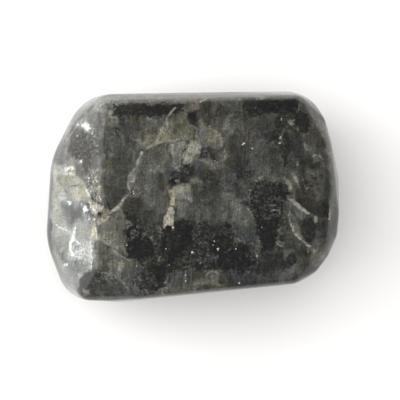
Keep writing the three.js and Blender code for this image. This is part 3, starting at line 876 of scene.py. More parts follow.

# %% [markdown]
# ## The tone of the feldspar
# Feldspar makes most of the rock, and each crystal has its own grey: some are smoky, some
# olive, some slightly blue. Washes set the crystals that show from above, and on the sloping
# end they also carry a painted sheen. Each is an outline with a soft edge, laid over the ones
# before it as a painter lays a glaze. Tone counts in stops, so that 1 is twice as bright, and
# warmth runs from about -1 (bluish) to 1 (brown).

# %% Washes: the slope's ground tone, and the left and the back of the top
# Tone in stops, warmth, softness of the edge in mm, and the outline.
BACK_WASHES = {
    # The left slope wash lightens the whole sloping end: partly paler feldspar, partly painted sheen of
    # the window's haze.
    "left slope": (1.75, -0.35, 0.7, [
        (-19.0, -13.0), (-12.2, -13.0), (-12.0, -5.0), (-11.2, -1.0), (-11.1, 3.0), (-11.7, 5.0),
        (-11.6, 9.0), (-10.3, 11.0), (-10.0, 13.0), (-19.0, 13.0),
    ]),
    "dark crystal, left back": (-0.6, 0.0, 0.8, [
        (-9.4, 4.3), (-6.9, 4.4), (-6.1, 6.0), (-6.1, 10.2), (-9.4, 10.2),
    ]),
    "dark crystal, left": (-0.7, 0.35, 0.5, [
        (-10.7, 4.6), (-10.5, -0.9), (-9.9, -1.6), (-8.4, -0.4), (-7.8, 0.8), (-7.9, 2.8), (-7.0, 4.0),
        (-7.4, 4.8),
    ]),
    "left of the lens": (0.05, 0.5, 0.5, [
        (-10.9, 3.2), (-9.2, 3.0), (-8.0, 2.7), (-7.9, 1.2), (-10.6, 1.0),
    ]),
    "brown streak, left": (0.3, 0.8, 0.3, box(-10.6, 4.8, -9.8, 2.4)),
    "grey crystal, left middle": (0.05, 0.0, 0.6, [
        (-7.0, 3.6), (-6.6, 5.6), (-5.0, 5.8), (-4.8, -3.2), (-6.2, -3.2), (-6.4, -0.2), (-6.9, 0.6),
    ]),
    "grey beside the long vein": (0.6, 0.05, 0.4, [
        (-6.9, 4.0), (-6.4, 7.4), (-5.5, 6.0), (-5.5, 2.4), (-6.9, 2.4),
    ]),
    "grey crystal, middle": (0.35, 0.1, 0.5, [
        (-6.0, 5.8), (-2.8, 6.6), (-2.6, 3.4), (-3.2, 2.6), (-6.2, 2.8),
    ]),
    "smooth crystal, middle": (-0.45, -0.1, 0.6, [
        (-5.0, 1.2), (-3.1, 1.0), (-3.0, -3.2), (-5.0, -3.4),
    ]),
    "left of the long grain": (0.1, 0.0, 0.4, [(-3.4, 3.6), (-2.7, 3.3), (-2.7, 0.2), (-3.5, 0.2)]),
    "above the long grain": (1.2, 0.1, 0.4, [(-2.6, 4.3), (-1.2, 4.2), (-0.9, 3.8), (-2.4, 3.2)]),
    "granular grey, back": (0.25, 0.25, 0.5, [(-6.0, 7.2), (-4.2, 7.0), (-3.8, 9.8), (-6.0, 9.8)]),
    "olive crystal": (0.9, 0.6, 0.25, [
        (-5.9, 5.9), (-5.9, 7.3), (-4.8, 7.4), (-4.1, 7.4), (-3.7, 8.2), (-3.0, 9.5), (-2.1, 10.9),
        (-0.8, 10.6), (-0.5, 9.6), (-0.5, 7.4), (-0.7, 6.9), (-2.4, 6.9), (-3.6, 6.6), (-5.2, 5.95),
    ]),
    "olive crystal, back part": (0.15, 0.7, 0.4, [
        (-2.4, 10.8), (-0.6, 10.8), (-0.3, 9.0), (-1.4, 8.2), (-2.6, 9.2),
    ]),
    "olive crystal, right part": (0.75, 0.3, 0.4, [
        (-0.6, 9.4), (0.4, 8.6), (0.9, 9.8), (1.3, 9.4), (1.9, 8.5), (3.0, 8.2), (3.9, 7.2),
        (3.8, 6.2), (3.4, 5.6), (2.2, 6.0), (0.8, 6.2), (-0.7, 6.8),
    ]),
    "below the olive crystal": (1.1, 0.3, 0.3, [
        (-2.6, 6.7), (-0.6, 6.9), (-0.2, 6.2), (-0.9, 5.6), (-1.2, 4.3), (-2.2, 4.1), (-2.6, 5.0),
    ]),
    "pale cleaved crystal": (1.8, 0.1, 0.2, [
        (-1.1, 4.2), (-1.0, 5.0), (-0.5, 5.9), (0.0, 6.7), (0.7, 6.6), (1.3, 6.2), (1.1, 5.4),
        (0.6, 5.0), (0.5, 4.2), (-0.1, 3.9),
    ]),
    "grey under the block": (0.3, -0.15, 0.5, [
        (0.2, 4.9), (1.4, 4.9), (2.9, 4.2), (3.6, 5.6), (4.3, 5.2), (3.8, 3.6), (2.4, 3.2), (0.6, 3.4),
    ]),
    "grey beside the long grain": (0.45, 0.0, 0.4, [(-0.4, 2.1), (0.5, 2.7), (0.9, 1.8), (-0.3, 1.0)]),
    "olive by the back rim": (-0.7, 1.1, 0.3, [(1.0, 11.6), (2.1, 11.7), (2.2, 10.4), (1.0, 10.4)]),
    "mauve patch by the back rim": (1.0, 0.4, 0.3, [
        (-0.6, 12.0), (0.8, 12.0), (0.6, 10.9), (0.2, 10.4), (-0.5, 10.5),
    ]),
    "grey by the back rim": (0.2, 0.45, 0.4, [(2.2, 11.8), (3.8, 11.8), (3.6, 8.6), (2.4, 8.6)]),
    "back rim, pinkish": (0.6, 0.1, 0.25, [
        (-10.2, 11.45), (-6.0, 11.3), (-2.0, 11.3), (2.5, 11.6), (2.5, 13.5), (-10.2, 13.5),
    ]),
    "back rim, grey": (0.3, 0.0, 0.25, [
        (2.5, 11.6), (7.0, 11.9), (12.5, 12.0), (12.5, 13.5), (2.5, 13.5),
    ]),
    "cloud": (0.9, 0.0, 0.5, [(4.1, 10.3), (5.1, 10.3), (5.2, 8.2), (4.1, 8.2)]),
}
print("washes, left and back:", len(BACK_WASHES))

# %% Washes: the right of the top
RIGHT_WASHES = {
    "greenish crystal": (-0.95, -0.1, 0.5, [
        (4.5, 7.8), (5.2, 10.2), (7.0, 10.2), (7.0, 4.2), (4.8, 3.4), (4.5, 5.0),
    ]),
    "greenish crystal, back part": (-0.1, -0.1, 0.5, [(4.6, 9.6), (6.4, 9.8), (6.4, 7.6), (4.6, 7.4)]),
    "lighter corner of the dark crystal": (-1.1, 0.1, 0.5, [
        (-8.6, 10.1), (-6.4, 10.1), (-6.6, 8.9), (-8.3, 8.8),
    ]),
    "brownish crystal, right back": (-0.65, 0.2, 0.5, [
        (7.0, 10.3), (9.8, 10.1), (9.9, 8.0), (7.0, 8.0),
    ]),
    "grey crystal, right back": (-0.45, 0.05, 0.7, [(6.9, 8.0), (9.2, 7.8), (9.3, 4.6), (7.0, 4.2)]),
    "speckled crystal, right back": (-1.45, 0.15, 0.5, [
        (10.0, 10.2), (12.8, 10.2), (12.6, 8.0), (10.2, 8.0),
    ]),
    "dark crystal, right": (-1.35, -0.15, 0.6, box(12.0, 8.0, 13.3, 4.4)),
    "greenish block, right": (-1.05, 0.3, 0.15, [
        (9.35, 5.8), (11.0, 5.6), (11.1, 4.0), (9.8, 3.8), (9.35, 4.4),
    ]),
    "greenish crystal, right rim": (0.15, 0.1, 0.3, [
        (13.8, 8.6), (15.2, 8.8), (15.6, 7.0), (15.6, 5.6), (14.0, 5.5), (13.7, 7.0),
    ]),
    "olive spot, right rim": (1.0, 0.5, 0.3, [(15.1, 7.0), (15.9, 7.0), (15.9, 5.7), (15.2, 5.6)]),
    "pale streak, right back": (1.0, 0.0, 0.15, [(11.6, 9.4), (12.0, 9.4), (12.5, 8.5), (12.3, 8.2)]),
    "right shoulder": (-0.35, 0.1, 0.6, [(14.0, 9.0), (15.7, 8.0), (16.4, 4.0), (14.0, 4.4)]),
    "brown crystal, right": (-0.75, 0.35, 0.5, [
        (12.9, 4.4), (16.2, 4.0), (16.6, 0.0), (13.0, -0.2), (13.0, 2.0),
    ]),
    "brown granular, right": (-1.7, 0.5, 0.3, [(13.2, 5.0), (15.6, 4.6), (15.5, 3.0), (13.3, 2.8)]),
    "grey patch, right": (-0.4, -0.1, 0.2, [(12.2, 4.8), (13.1, 4.8), (13.3, 3.6), (12.3, 3.4)]),
    "streaky rim, right": (-0.3, 0.0, 0.2, [(15.6, 4.9), (16.6, 4.6), (17.2, 0.2), (15.7, 0.0)]),
    "around the right vein": (0.0, 0.2, 0.5, [
        (11.3, 3.2), (12.8, 3.2), (13.6, 1.8), (12.6, 0.2), (12.0, 0.4),
    ]),
    "dark triangle, right": (-1.6, 0.2, 0.3, [
        (12.8, -0.3), (16.2, -0.2), (16.8, -1.5), (16.9, -2.4), (15.2, -2.3), (14.0, -2.0),
        (13.3, -1.3),
    ]),
    "right front shoulder": (-0.75, 0.0, 0.6, [(15.1, -2.6), (17.4, -2.8), (16.9, -5.6), (15.3, -5.6)]),
    "olive sliver": (-0.6, 0.35, 0.35, [
        (10.9, -1.2), (11.6, -1.2), (12.2, -3.4), (12.4, -4.8), (11.4, -4.8), (11.1, -3.0),
    ]),
    "olive wedge": (-1.4, 0.4, 0.35, [
        (12.2, -1.6), (12.9, -1.9), (13.4, -2.8), (13.4, -4.9), (12.9, -4.9), (12.5, -4.0),
    ]),
    "olive by the right grain": (-1.0, 0.5, 0.4, [
        (10.0, -4.8), (12.2, -4.9), (12.6, -6.2), (10.0, -6.3),
    ]),
    "grey, right front": (-0.45, 0.1, 0.6, [(13.0, -6.2), (16.2, -6.2), (15.6, -9.0), (13.0, -9.8)]),
    "dark olive, right front": (-1.2, 0.4, 0.4, [
        (12.2, -5.9), (13.8, -6.2), (14.0, -7.4), (12.4, -7.0),
    ]),
    "olive, right front rim": (-0.5, 0.6, 0.4, [
        (15.0, -6.8), (16.0, -6.8), (15.6, -8.8), (15.0, -8.8),
    ]),
    "olive patch, right front rim": (0.95, 0.3, 0.4, [
        (14.5, -5.9), (15.9, -6.2), (16.0, -7.4), (15.4, -8.6), (14.7, -8.4), (14.4, -7.2),
    ]),
    "grey rim, right": (0.5, -0.1, 0.4, [(15.4, -5.0), (16.6, -5.0), (16.2, -6.2), (15.2, -6.0)]),
    "purple-grey crystal, front": (-1.7, -0.3, 0.5, [
        (7.6, -6.9), (11.0, -6.6), (11.4, -8.6), (10.2, -9.4), (7.6, -9.6),
    ]),
    "front edge, right": (-0.3, -0.25, 0.4, [(10.4, -9.2), (12.2, -9.2), (12.0, -10.8), (10.2, -10.8)]),
    "olive crystal, right middle": (0.0, 0.15, 0.4, [(7.2, 5.0), (9.6, 5.0), (9.6, 2.2), (7.6, 2.1)]),
    "grey crystal, right middle": (-0.4, 0.05, 0.5, [(9.6, 5.0), (11.2, 5.0), (11.3, 2.0), (9.6, 2.1)]),
}
print("washes, right:", len(RIGHT_WASHES))

# %% Washes: the middle, the front and the edges of the top
FRONT_WASHES = {
    "bluish crystal, middle": (-0.2, -0.15, 0.5, [
        (3.8, 3.0), (5.4, 2.8), (7.6, 2.0), (7.6, 0.2), (6.2, -0.6), (4.4, 0.0),
    ]),
    "above the crescent": (0.35, -0.1, 0.5, [
        (3.4, 0.7), (5.0, 0.5), (6.2, -0.5), (5.6, -1.5), (4.4, -1.2),
    ]),
    "crescent crystal": (0.45, -0.15, 0.3, [
        (4.8, -1.3), (5.6, -0.7), (6.6, -1.1), (7.2, -1.9), (7.5, -2.8), (6.6, -3.4), (5.0, -3.2),
        (4.8, -2.2),
    ]),
    "crescent crystal, lower part": (-0.15, -0.45, 0.5, [
        (5.0, -3.2), (7.5, -3.0), (7.7, -3.9), (8.0, -5.0), (6.6, -5.4), (5.2, -4.8),
    ]),
    "grey, middle front": (0.0, 0.05, 0.5, [(3.2, 0.0), (4.8, -0.2), (4.8, -3.0), (3.2, -3.2)]),
    "streaked crystal": (-0.5, 0.1, 0.5, [(0.2, 1.4), (3.4, 1.4), (3.1, -3.0), (0.4, -3.0)]),
    "cloudy streaks": (-0.65, 0.1, 0.4, [(-0.7, -0.4), (0.6, -0.4), (0.9, -3.0), (-0.6, -3.0)]),
    "pale patch under the long grain": (1.3, 0.0, 0.3, [
        (-2.5, 1.4), (-1.2, 1.7), (-0.3, 1.5), (0.1, 0.4), (0.0, -0.7), (-1.0, -0.4), (-1.9, -0.3),
        (-2.5, 0.3),
    ]),
    "pale patch, lower part": (0.65, 0.4, 0.35, [
        (-2.1, -0.5), (-0.6, -0.6), (-0.5, -2.7), (-2.1, -2.9),
    ]),
    "dusky crystal, left": (-0.95, 0.2, 0.4, [
        (-7.9, -0.1), (-6.4, -0.2), (-6.3, -3.2), (-8.0, -3.4), (-8.9, -2.8), (-8.7, -1.8),
        (-8.2, -0.9),
    ]),
    "olive crystal, left front": (0.8, 0.25, 0.35, [
        (-11.0, -2.6), (-9.7, -2.0), (-8.5, -2.2), (-8.1, -4.0), (-8.0, -5.6), (-8.1, -6.9),
        (-9.6, -6.4), (-10.4, -5.6), (-11.0, -4.4),
    ]),
    "by the foot of the band": (1.2, 0.25, 0.5, [
        (-11.1, -4.4), (-10.0, -4.5), (-9.7, -5.6), (-10.4, -6.1), (-11.4, -5.4),
    ]),
    "dark crystal, left front": (0.5, 0.2, 0.3, [
        (-11.7, -5.4), (-10.6, -5.9), (-9.6, -6.6), (-8.4, -7.3), (-9.8, -7.8), (-10.6, -9.0),
        (-11.9, -8.8),
    ]),
    "olive crystal, front": (1.35, 0.1, 0.4, [
        (-10.4, -8.0), (-8.8, -7.4), (-7.8, -8.0), (-8.0, -9.4), (-9.2, -9.9), (-10.4, -9.4),
    ]),
    "corner crystal": (-0.45, -0.2, 0.25, [
        (-13.8, -10.2), (-13.2, -9.3), (-12.3, -9.0), (-11.2, -9.1), (-10.4, -9.8), (-9.0, -10.2),
        (-9.0, -13.5), (-14.2, -13.5),
    ]),
    "front, left": (0.0, -0.15, 0.6, [
        (-9.0, -10.0), (-7.6, -8.2), (-5.2, -8.0), (-4.8, -12.8), (-9.2, -13.0),
    ]),
    "dusky granular, front": (-0.95, -0.2, 0.5, [
        (-5.2, -3.3), (-3.4, -3.4), (-3.2, -8.2), (-5.2, -8.2), (-4.9, -5.6),
    ]),
    "olive spot, front": (1.0, 0.6, 0.3, [(-4.0, -7.0), (-3.2, -7.0), (-3.1, -8.0), (-4.0, -8.2)]),
    "front, middle left": (-0.35, 0.0, 0.4, [(-3.0, -9.2), (-0.4, -9.0), (-0.4, -12.4), (-3.2, -12.4)]),
    "olive streaks, front": (-0.5, 0.1, 0.4, [(-0.4, -8.4), (1.8, -8.8), (1.6, -12.0), (-0.4, -12.2)]),
    "pale crystal, front": (0.5, -0.1, 0.25, [
        (1.75, -9.5), (2.1, -9.1), (2.9, -9.1), (3.3, -9.6), (3.2, -10.3), (1.7, -10.4),
    ]),
    "front, middle right": (-1.05, -0.3, 0.4, [(4.0, -9.2), (7.6, -9.4), (7.6, -11.6), (4.0, -11.6)]),
    "granular dark, front": (-0.95, 0.0, 0.5, [(0.3, -3.2), (2.9, -3.2), (2.7, -8.4), (0.4, -8.4)]),
    "bluish dark, front": (-1.2, -0.5, 0.5, [
        (2.8, -3.2), (4.9, -3.4), (5.7, -3.8), (5.6, -5.0), (2.9, -5.0),
    ]),
    "left edge of the top": (0.0, 0.0, 0.5, [
        (-11.5, 10.4), (-9.4, 10.0), (-9.4, 4.8), (-10.4, 4.8), (-10.6, 1.6), (-11.2, 1.6),
    ]),
    "back corner of the top": (1.0, 0.0, 0.4, [(-10.6, 11.0), (-9.2, 10.6), (-8.7, 8.2), (-10.8, 8.6)]),
    "smooth dark crystal, left": (-1.3, -0.15, 0.5, [
        (-6.2, -1.6), (-4.8, -1.4), (-4.6, -4.8), (-5.8, -4.8),
    ]),
    "tan streaks": (1.7, 0.5, 0.15, [(-3.0, 0.9), (-2.1, 0.7), (-2.1, -1.1), (-3.0, -1.0)]),
    "front left of the top": (0.3, -0.1, 0.6, [
        (-12.0, -8.2), (-10.4, -8.4), (-9.8, -10.2), (-11.6, -10.4), (-12.4, -9.4),
    ]),
    "smooth grey, right front": (0.15, -0.3, 0.4, [
        (10.2, -8.7), (12.4, -8.5), (13.6, -8.7), (13.4, -9.5), (12.0, -10.2), (10.0, -10.4),
    ]),
    "right of the fan": (-0.1, 0.2, 0.5, [(13.9, 3.4), (15.6, 3.4), (15.8, 0.4), (14.2, 0.2)]),
}
print("washes, middle and front:", len(FRONT_WASHES))

# %% [markdown]
# ## The sloping end
# The sloping end is the palest part of the stone: cream and striped feldspar, a white patch,
# and a speckled dark one like salt and pepper. It gets its own washes, with wide soft edges,
# because its crystals fade into each other where the top's meet at sharp borders. These washes
# are partly that paler feldspar and partly painted sheen: they are set lighter to stand for the
# haze of the window's light on this end, which faces it.

# %% Washes: the sloping end and its corner
SLOPE_WASHES_AND_SHEEN = {
    "slope, back corner": (1.0, -0.3, 0.9, [
        (-13.8, 10.6), (-12.4, 11.6), (-10.4, 12.4), (-10.1, 11.3), (-11.6, 10.7), (-13.0, 9.9),
    ]),
    "slope, dark streak": (-1.3, -0.1, 0.4, [
        (-13.2, 10.3), (-12.9, 10.15), (-12.0, 10.9), (-11.95, 11.2), (-12.3, 11.2), (-13.1, 10.6),
    ]),
    "slope, behind the white patch": (0.3, -0.2, 1.0, [
        (-12.9, 10.0), (-11.5, 10.6), (-11.2, 9.0), (-11.2, 6.6), (-11.9, 6.6), (-12.1, 7.6),
        (-12.4, 9.0),
    ]),
    "slope, salt and pepper": (-0.5, 0.2, 0.7, [
        (-14.7, 8.4), (-13.9, 8.6), (-13.3, 8.1), (-12.5, 7.8), (-12.1, 7.2), (-11.7, 6.2),
        (-11.7, 5.2), (-12.2, 4.2), (-12.4, 3.0), (-13.4, 3.0), (-13.5, 4.6), (-14.6, 4.8),
        (-15.3, 5.6), (-15.2, 7.0),
    ]),
    "slope, rim at the back": (0.9, -0.3, 1.0, [
        (-17.4, 4.6), (-16.0, 7.2), (-15.2, 8.0), (-15.5, 6.4), (-15.5, 5.4), (-14.6, 4.6),
        (-16.2, 4.2),
    ]),
    "slope, left": (2.45, -0.2, 0.9, [
        (-17.6, 4.2), (-15.9, 4.0), (-15.6, 2.8), (-15.2, 1.2), (-15.2, -0.6), (-16.2, -1.2),
        (-16.6, -2.8), (-17.8, -2.8),
    ]),
    "slope, brown column": (0.7, 0.3, 0.4, [
        (-14.5, 4.2), (-13.6, 4.4), (-13.3, 2.8), (-12.6, 1.5), (-13.1, 1.3), (-13.6, 2.4),
        (-14.4, 2.6),
    ]),
    "slope, cream block": (2.1, 0.5, 0.3, [(-15.8, 3.75), (-14.45, 3.7), (-14.4, 2.7), (-15.6, 2.65)]),
    "slope, striped": (2.05, 0.2, 0.5, [
        (-16.6, 2.6), (-14.4, 2.6), (-13.3, 2.2), (-13.2, 1.1), (-16.4, 1.1),
    ]),
    "slope, cream": (2.45, 0.0, 0.4, [
        (-15.1, 1.1), (-13.5, 1.2), (-12.6, 0.9), (-12.4, -0.2), (-13.4, -0.4), (-14.0, -0.4),
        (-15.0, -0.2),
    ]),
    "slope, sparkling": (1.0, -0.1, 0.6, [
        (-13.1, 3.0), (-12.0, 3.0), (-11.0, 1.2), (-10.95, -0.7), (-12.0, -0.7), (-12.5, 0.6),
        (-13.2, 1.4),
    ]),
    "slope, grey crystal": (1.35, -0.45, 0.8, [
        (-16.2, -1.2), (-15.0, -0.9), (-14.0, -0.9), (-13.4, -1.4), (-13.4, -2.4), (-13.7, -3.0),
        (-14.6, -3.6), (-15.6, -3.2), (-16.3, -2.4),
    ]),
    "slope, grey crystal, dark side": (0.4, -0.5, 0.9, [
        (-14.6, -1.4), (-13.6, -1.5), (-13.5, -2.6), (-14.4, -3.1), (-14.9, -2.4),
    ]),
    "slope, smooth": (2.1, -0.35, 0.7, [
        (-13.9, -2.7), (-12.6, -2.3), (-12.5, -3.0), (-12.4, -5.3), (-13.6, -5.4), (-14.2, -4.2),
    ]),
    "slope, streaky": (1.75, -0.45, 0.9, [
        (-17.4, -4.6), (-15.0, -4.8), (-15.3, -6.8), (-15.6, -8.2), (-17.2, -6.8),
    ]),
    "slope, streaky, upper part": (2.15, -0.35, 0.9, [
        (-17.4, -3.0), (-16.2, -3.0), (-15.0, -3.8), (-14.9, -4.6), (-17.3, -4.8),
    ]),
    "slope, dark end of it": (0.6, -0.4, 0.5, [
        (-16.5, -7.1), (-15.9, -6.9), (-15.8, -8.1), (-16.3, -8.2),
    ]),
    "slope, white": (2.2, -0.45, 0.8, [
        (-15.1, -5.0), (-14.4, -3.9), (-13.9, -4.4), (-13.7, -5.4), (-12.1, -5.4), (-12.05, -9.0),
        (-12.5, -9.0), (-12.9, -8.0), (-13.8, -7.5), (-14.6, -7.4), (-15.2, -6.6),
    ]),
    "slope, below the white": (1.4, -0.55, 0.8, [
        (-15.6, -7.6), (-13.8, -7.6), (-12.9, -8.1), (-12.5, -8.9), (-13.5, -9.7), (-14.6, -9.4),
        (-15.8, -8.6),
    ]),
    "slope, front": (1.8, -0.6, 0.9, [
        (-16.6, -8.6), (-15.0, -9.0), (-13.7, -9.8), (-13.7, -12.6), (-14.4, -12.8), (-16.4, -11.2),
    ]),
    "corner, left column": (-0.5, -0.2, 0.4, [
        (-13.7, -10.2), (-12.6, -9.4), (-12.3, -12.8), (-13.8, -12.6),
    ]),
    "corner, lower end": (2.1, -0.3, 0.4, [
        (-13.4, -11.2), (-12.2, -11.3), (-12.0, -12.2), (-13.2, -12.2),
    ]),
    "front left corner of the top": (0.5, -0.3, 0.4, [
        (-11.2, -10.3), (-9.9, -10.4), (-9.8, -11.7), (-11.2, -11.8),
    ]),
    "knot on the slope": (2.8, 0.0, 0.25, [
        (-12.6, -0.6), (-11.9, -0.7), (-11.3, -1.0), (-10.9, -1.2), (-11.1, -2.1), (-11.8, -2.3),
        (-12.4, -2.1), (-12.5, -1.4),
    ]),
    "band on the slope": (2.15, 0.1, 0.3, [
        (-12.6, -3.4), (-12.3, -2.7), (-11.8, -2.7), (-11.7, -3.4), (-11.5, -4.2), (-11.1, -5.1),
        (-11.9, -5.35), (-12.4, -4.9),
    ]),
    "pink by the pit": (2.1, 0.1, 0.2, [
        (-11.9, -2.4), (-10.2, -2.3), (-10.4, -3.2), (-11.2, -3.4), (-11.7, -3.0),
    ]),
    "brown by the pit": (1.6, 0.0, 0.3, [
        (-11.2, -0.9), (-10.6, -1.0), (-10.1, -1.8), (-10.4, -2.3), (-11.0, -2.1),
    ]),
}
print("washes, slope:", len(SLOPE_WASHES_AND_SHEEN))

# %% [markdown]
# ## Small touches
# The last washes are small: a paler spot, a dark corner, a streak along a rim. They lie over
# all the others, as they would in a painting, so they come last.

# %% Washes: small touches
LAST_WASHES = {
    "back rim, left end": (1.2, -0.1, 0.4, [
        (-11.4, 12.4), (-8.6, 12.4), (-8.6, 11.3), (-10.1, 11.1), (-11.2, 11.3),
    ]),
    "front rim, middle": (0.1, 0.0, 0.5, [(-3.0, -11.0), (4.2, -10.3), (4.2, -11.6), (-3.0, -12.3)]),
    "smooth block, front": (-0.9, -0.5, 0.2, [
        (-3.0, -9.2), (-2.0, -9.2), (-2.0, -10.3), (-3.0, -10.2),
    ]),
    "front edge, middle right": (-0.8, -0.3, 0.5, [
        (7.4, -9.3), (10.2, -9.0), (10.2, -10.8), (7.4, -11.2),
    ]),
    "dark beside the loop": (-1.3, -0.1, 0.4, [(10.8, 8.1), (12.2, 8.1), (12.2, 6.3), (11.2, 6.5)]),
    "pinkish rim, front": (0.9, 0.1, 0.3, [(0.2, -10.4), (3.9, -10.1), (3.9, -10.9), (0.2, -11.1)]),
    "inside the loop, left": (-1.1, 0.1, 0.3, [(9.3, 7.3), (11.1, 7.2), (11.1, 6.0), (9.4, 5.9)]),
    "by the arcs, right": (-0.9, 0.2, 0.3, [(13.6, 5.6), (14.5, 5.4), (14.6, 4.6), (13.6, 4.4)]),
    "behind the strip": (-0.9, 0.1, 0.3, [(3.2, 11.2), (4.4, 11.1), (4.4, 10.2), (3.3, 10.2)]),
    "middle, under the cloud": (-1.2, -0.1, 0.4, [
        (5.2, 5.4), (6.6, 5.4), (6.4, 2.4), (5.6, 2.4), (5.2, 3.4),
    ]),
    "dark streak, middle front": (-1.3, 0.0, 0.3, [
        (1.7, -0.3), (2.4, -0.4), (2.9, -2.4), (2.5, -2.6), (2.0, -1.6),
    ]),
    "lighter, left front": (0.9, 0.1, 0.4, [(-8.2, -3.0), (-7.6, -2.8), (-7.5, -4.0), (-8.2, -4.0)]),
    "lighter, by the front grain": (0.4, 0.0, 0.3, [
        (-4.2, -3.6), (-3.2, -3.6), (-3.4, -5.2), (-4.2, -5.2),
    ]),
    "lighter, back left": (0.9, 0.1, 0.4, [
        (-10.7, 11.8), (-8.4, 11.8), (-8.4, 11.1), (-9.8, 11.0), (-10.9, 9.7), (-11.2, 10.6),
    ]),
    "lighter, left edge": (0.8, 0.0, 0.4, [(-11.2, 3.2), (-9.8, 3.1), (-9.8, 2.1), (-11.2, 2.1)]),
    "grey over the right grain": (0.3, 0.1, 0.3, box(7.8, 2.5, 10.8, 1.9)),
    "lighter, front left edge": (0.3, -0.1, 0.4, [
        (-3.8, -9.8), (-2.8, -9.8), (-2.8, -11.9), (-5.4, -11.9), (-5.2, -11.2), (-4.0, -11.0),
    ]),
    "cloud, lower end": (0.2, 0.0, 0.3, [(4.0, 7.7), (4.8, 7.7), (4.7, 5.5), (4.1, 5.5)]),
    "pale patch, right front": (0.9, 0.1, 0.3, [
        (14.5, -5.4), (15.6, -5.3), (15.5, -6.2), (14.6, -6.2),
    ]),
    "top corner, back left": (1.2, 0.0, 0.3, [
        (-10.7, 11.8), (-9.4, 11.8), (-9.4, 11.1), (-9.8, 10.7), (-10.5, 10.7),
    ]),
    "dark edge, right front": (-1.0, 0.0, 0.3, [
        (2.4, -8.4), (4.2, -8.4), (4.2, -10.4), (3.4, -10.4), (3.5, -9.4), (3.0, -8.95),
    ]),
    "grey spot in the granules": (0.5, 0.0, 0.3, [(0.8, -2.6), (1.5, -2.6), (1.5, -3.6), (0.9, -3.7)]),
    "second grey spot": (0.5, 0.0, 0.3, [(0.7, -4.9), (1.4, -4.9), (1.4, -5.8), (0.8, -5.8)]),
    "third grey spot": (1.0, 0.0, 0.3, box(0.7, -7.6, 1.4, -8.4)),
    "grey by the cleaved crystal": (1.0, 0.0, 0.4, [
        (0.2, 4.0), (1.0, 4.4), (1.4, 5.4), (2.0, 6.2), (1.3, 6.7), (0.9, 6.0), (0.0, 4.6),
    ]),
    "olive sliver, lower end": (-0.1, 0.35, 0.4, [
        (11.3, -4.4), (12.2, -4.4), (12.3, -6.0), (11.2, -6.0),
    ]),
    "lighter spot, right back": (0.2, 0.0, 0.4, box(8.0, 7.9, 9.0, 6.9)),
    "lighter spot, right": (0.4, 0.1, 0.3, box(14.5, 4.8, 15.5, 4.0)),
    "by the right grain, dark": (-1.8, 0.0, 0.3, [
        (9.6, -3.4), (10.6, -3.4), (10.6, -4.8), (9.8, -4.8),
    ]),
    "dark, left of the right grain": (-0.9, -0.1, 0.3, [
        (6.1, 2.5), (7.5, 2.5), (7.3, 1.8), (6.2, 1.8),
    ]),
    "dark, right shoulder": (-0.9, 0.0, 0.3, [(16.0, 5.2), (16.8, 5.0), (16.9, 3.8), (16.1, 3.8)]),
    "lighter, behind the olive crystal": (0.2, 0.1, 0.3, [
        (-7.6, 7.9), (-6.0, 7.9), (-5.9, 6.9), (-7.6, 6.9),
    ]),
    "fourth grey spot": (0.2, 0.0, 0.3, box(5.9, -7.5, 6.6, -8.4)),
    "fifth grey spot": (0.3, 0.0, 0.3, box(1.4, -6.2, 2.0, -7.2)),
    "grey spot in the purple-grey": (-0.5, -0.2, 0.3, box(8.7, -7.0, 9.4, -7.8)),
    "dark end of the purple-grey": (-2.2, -0.2, 0.3, box(7.9, -8.0, 8.9, -9.6)),
    "slope, pale end": (2.0, -0.3, 0.5, box(-15.7, -6.6, -15.0, -7.8)),
    "slope, foot of the white": (1.7, -0.4, 0.5, [
        (-13.4, -7.2), (-12.6, -7.2), (-12.4, -8.2), (-13.3, -8.2),
    ]),
    "slope, edge of the pepper": (0.3, 0.0, 0.5, box(-12.3, 4.8, -11.3, 3.2)),
    "dark, right of the right grain": (-0.8, 0.1, 0.3, [
        (11.3, 1.0), (12.0, 1.0), (12.0, -1.0), (11.4, -1.0),
    ]),
}
print("washes, small touches:", len(LAST_WASHES))

# %% [markdown]
# ## Feldspar crystals
# Where no wash lies, as on the sides and the underside, the rock is split into crystals by the
# nearest of many random seeds, and each crystal has a random tone. A Voronoi texture could
# split it too, but tone and warmth are worked out here, so that the washes can go over them.

# %% Feldspar crystals
CRYSTAL_SIZE = 4.5
SEEDS_X = 19  # the seeds reach this far from the middle along x
SEEDS_Y = 14  # this far from it along y
SEEDS_PAST = 1  # and this far past the base and the top
TONE_SPREAD = (-0.3, 0.45)  # mean and spread
WARMTH_SPREAD = (0.05, 0.25)
DICE_SEED = 12
dice = random.Random(DICE_SEED)


def seed_place():
    x = dice.uniform(-SEEDS_X, SEEDS_X)
    y = dice.uniform(-SEEDS_Y, SEEDS_Y)
    return Vector((x, y, dice.uniform(-SEEDS_PAST, HEIGHT + SEEDS_PAST)))


seeded_volume = 2 * SEEDS_X * 2 * SEEDS_Y * (HEIGHT + 2 * SEEDS_PAST)
seeds = np.array([seed_place() for _ in range(int(seeded_volume / CRYSTAL_SIZE**3))])
gaps = ((rock[:, None, :] - seeds[None, :, :]) ** 2).sum(axis=2)
crystal = gaps.argmin(axis=1)
tone = np.array([dice.gauss(*TONE_SPREAD) for _ in seeds])[crystal]
warmth = np.array([dice.gauss(*WARMTH_SPREAD) for _ in seeds])[crystal]
print("crystals:", len(seeds))

# %% [markdown]
# ## The rock in depth
# The sides and the underside show the same rock, so they get grains by chance: small
# ellipsoids of each mineral, set on the surface at seeded random places and turned at random.
# They could be spheres, but real grains are longer one way, and a thin flat one makes a vein.

# %% A stray grain
STRAY_LEVEL = 8.0  # stray grains lie below this height
TINY = 1e-6  # keeps a division from meeting zero


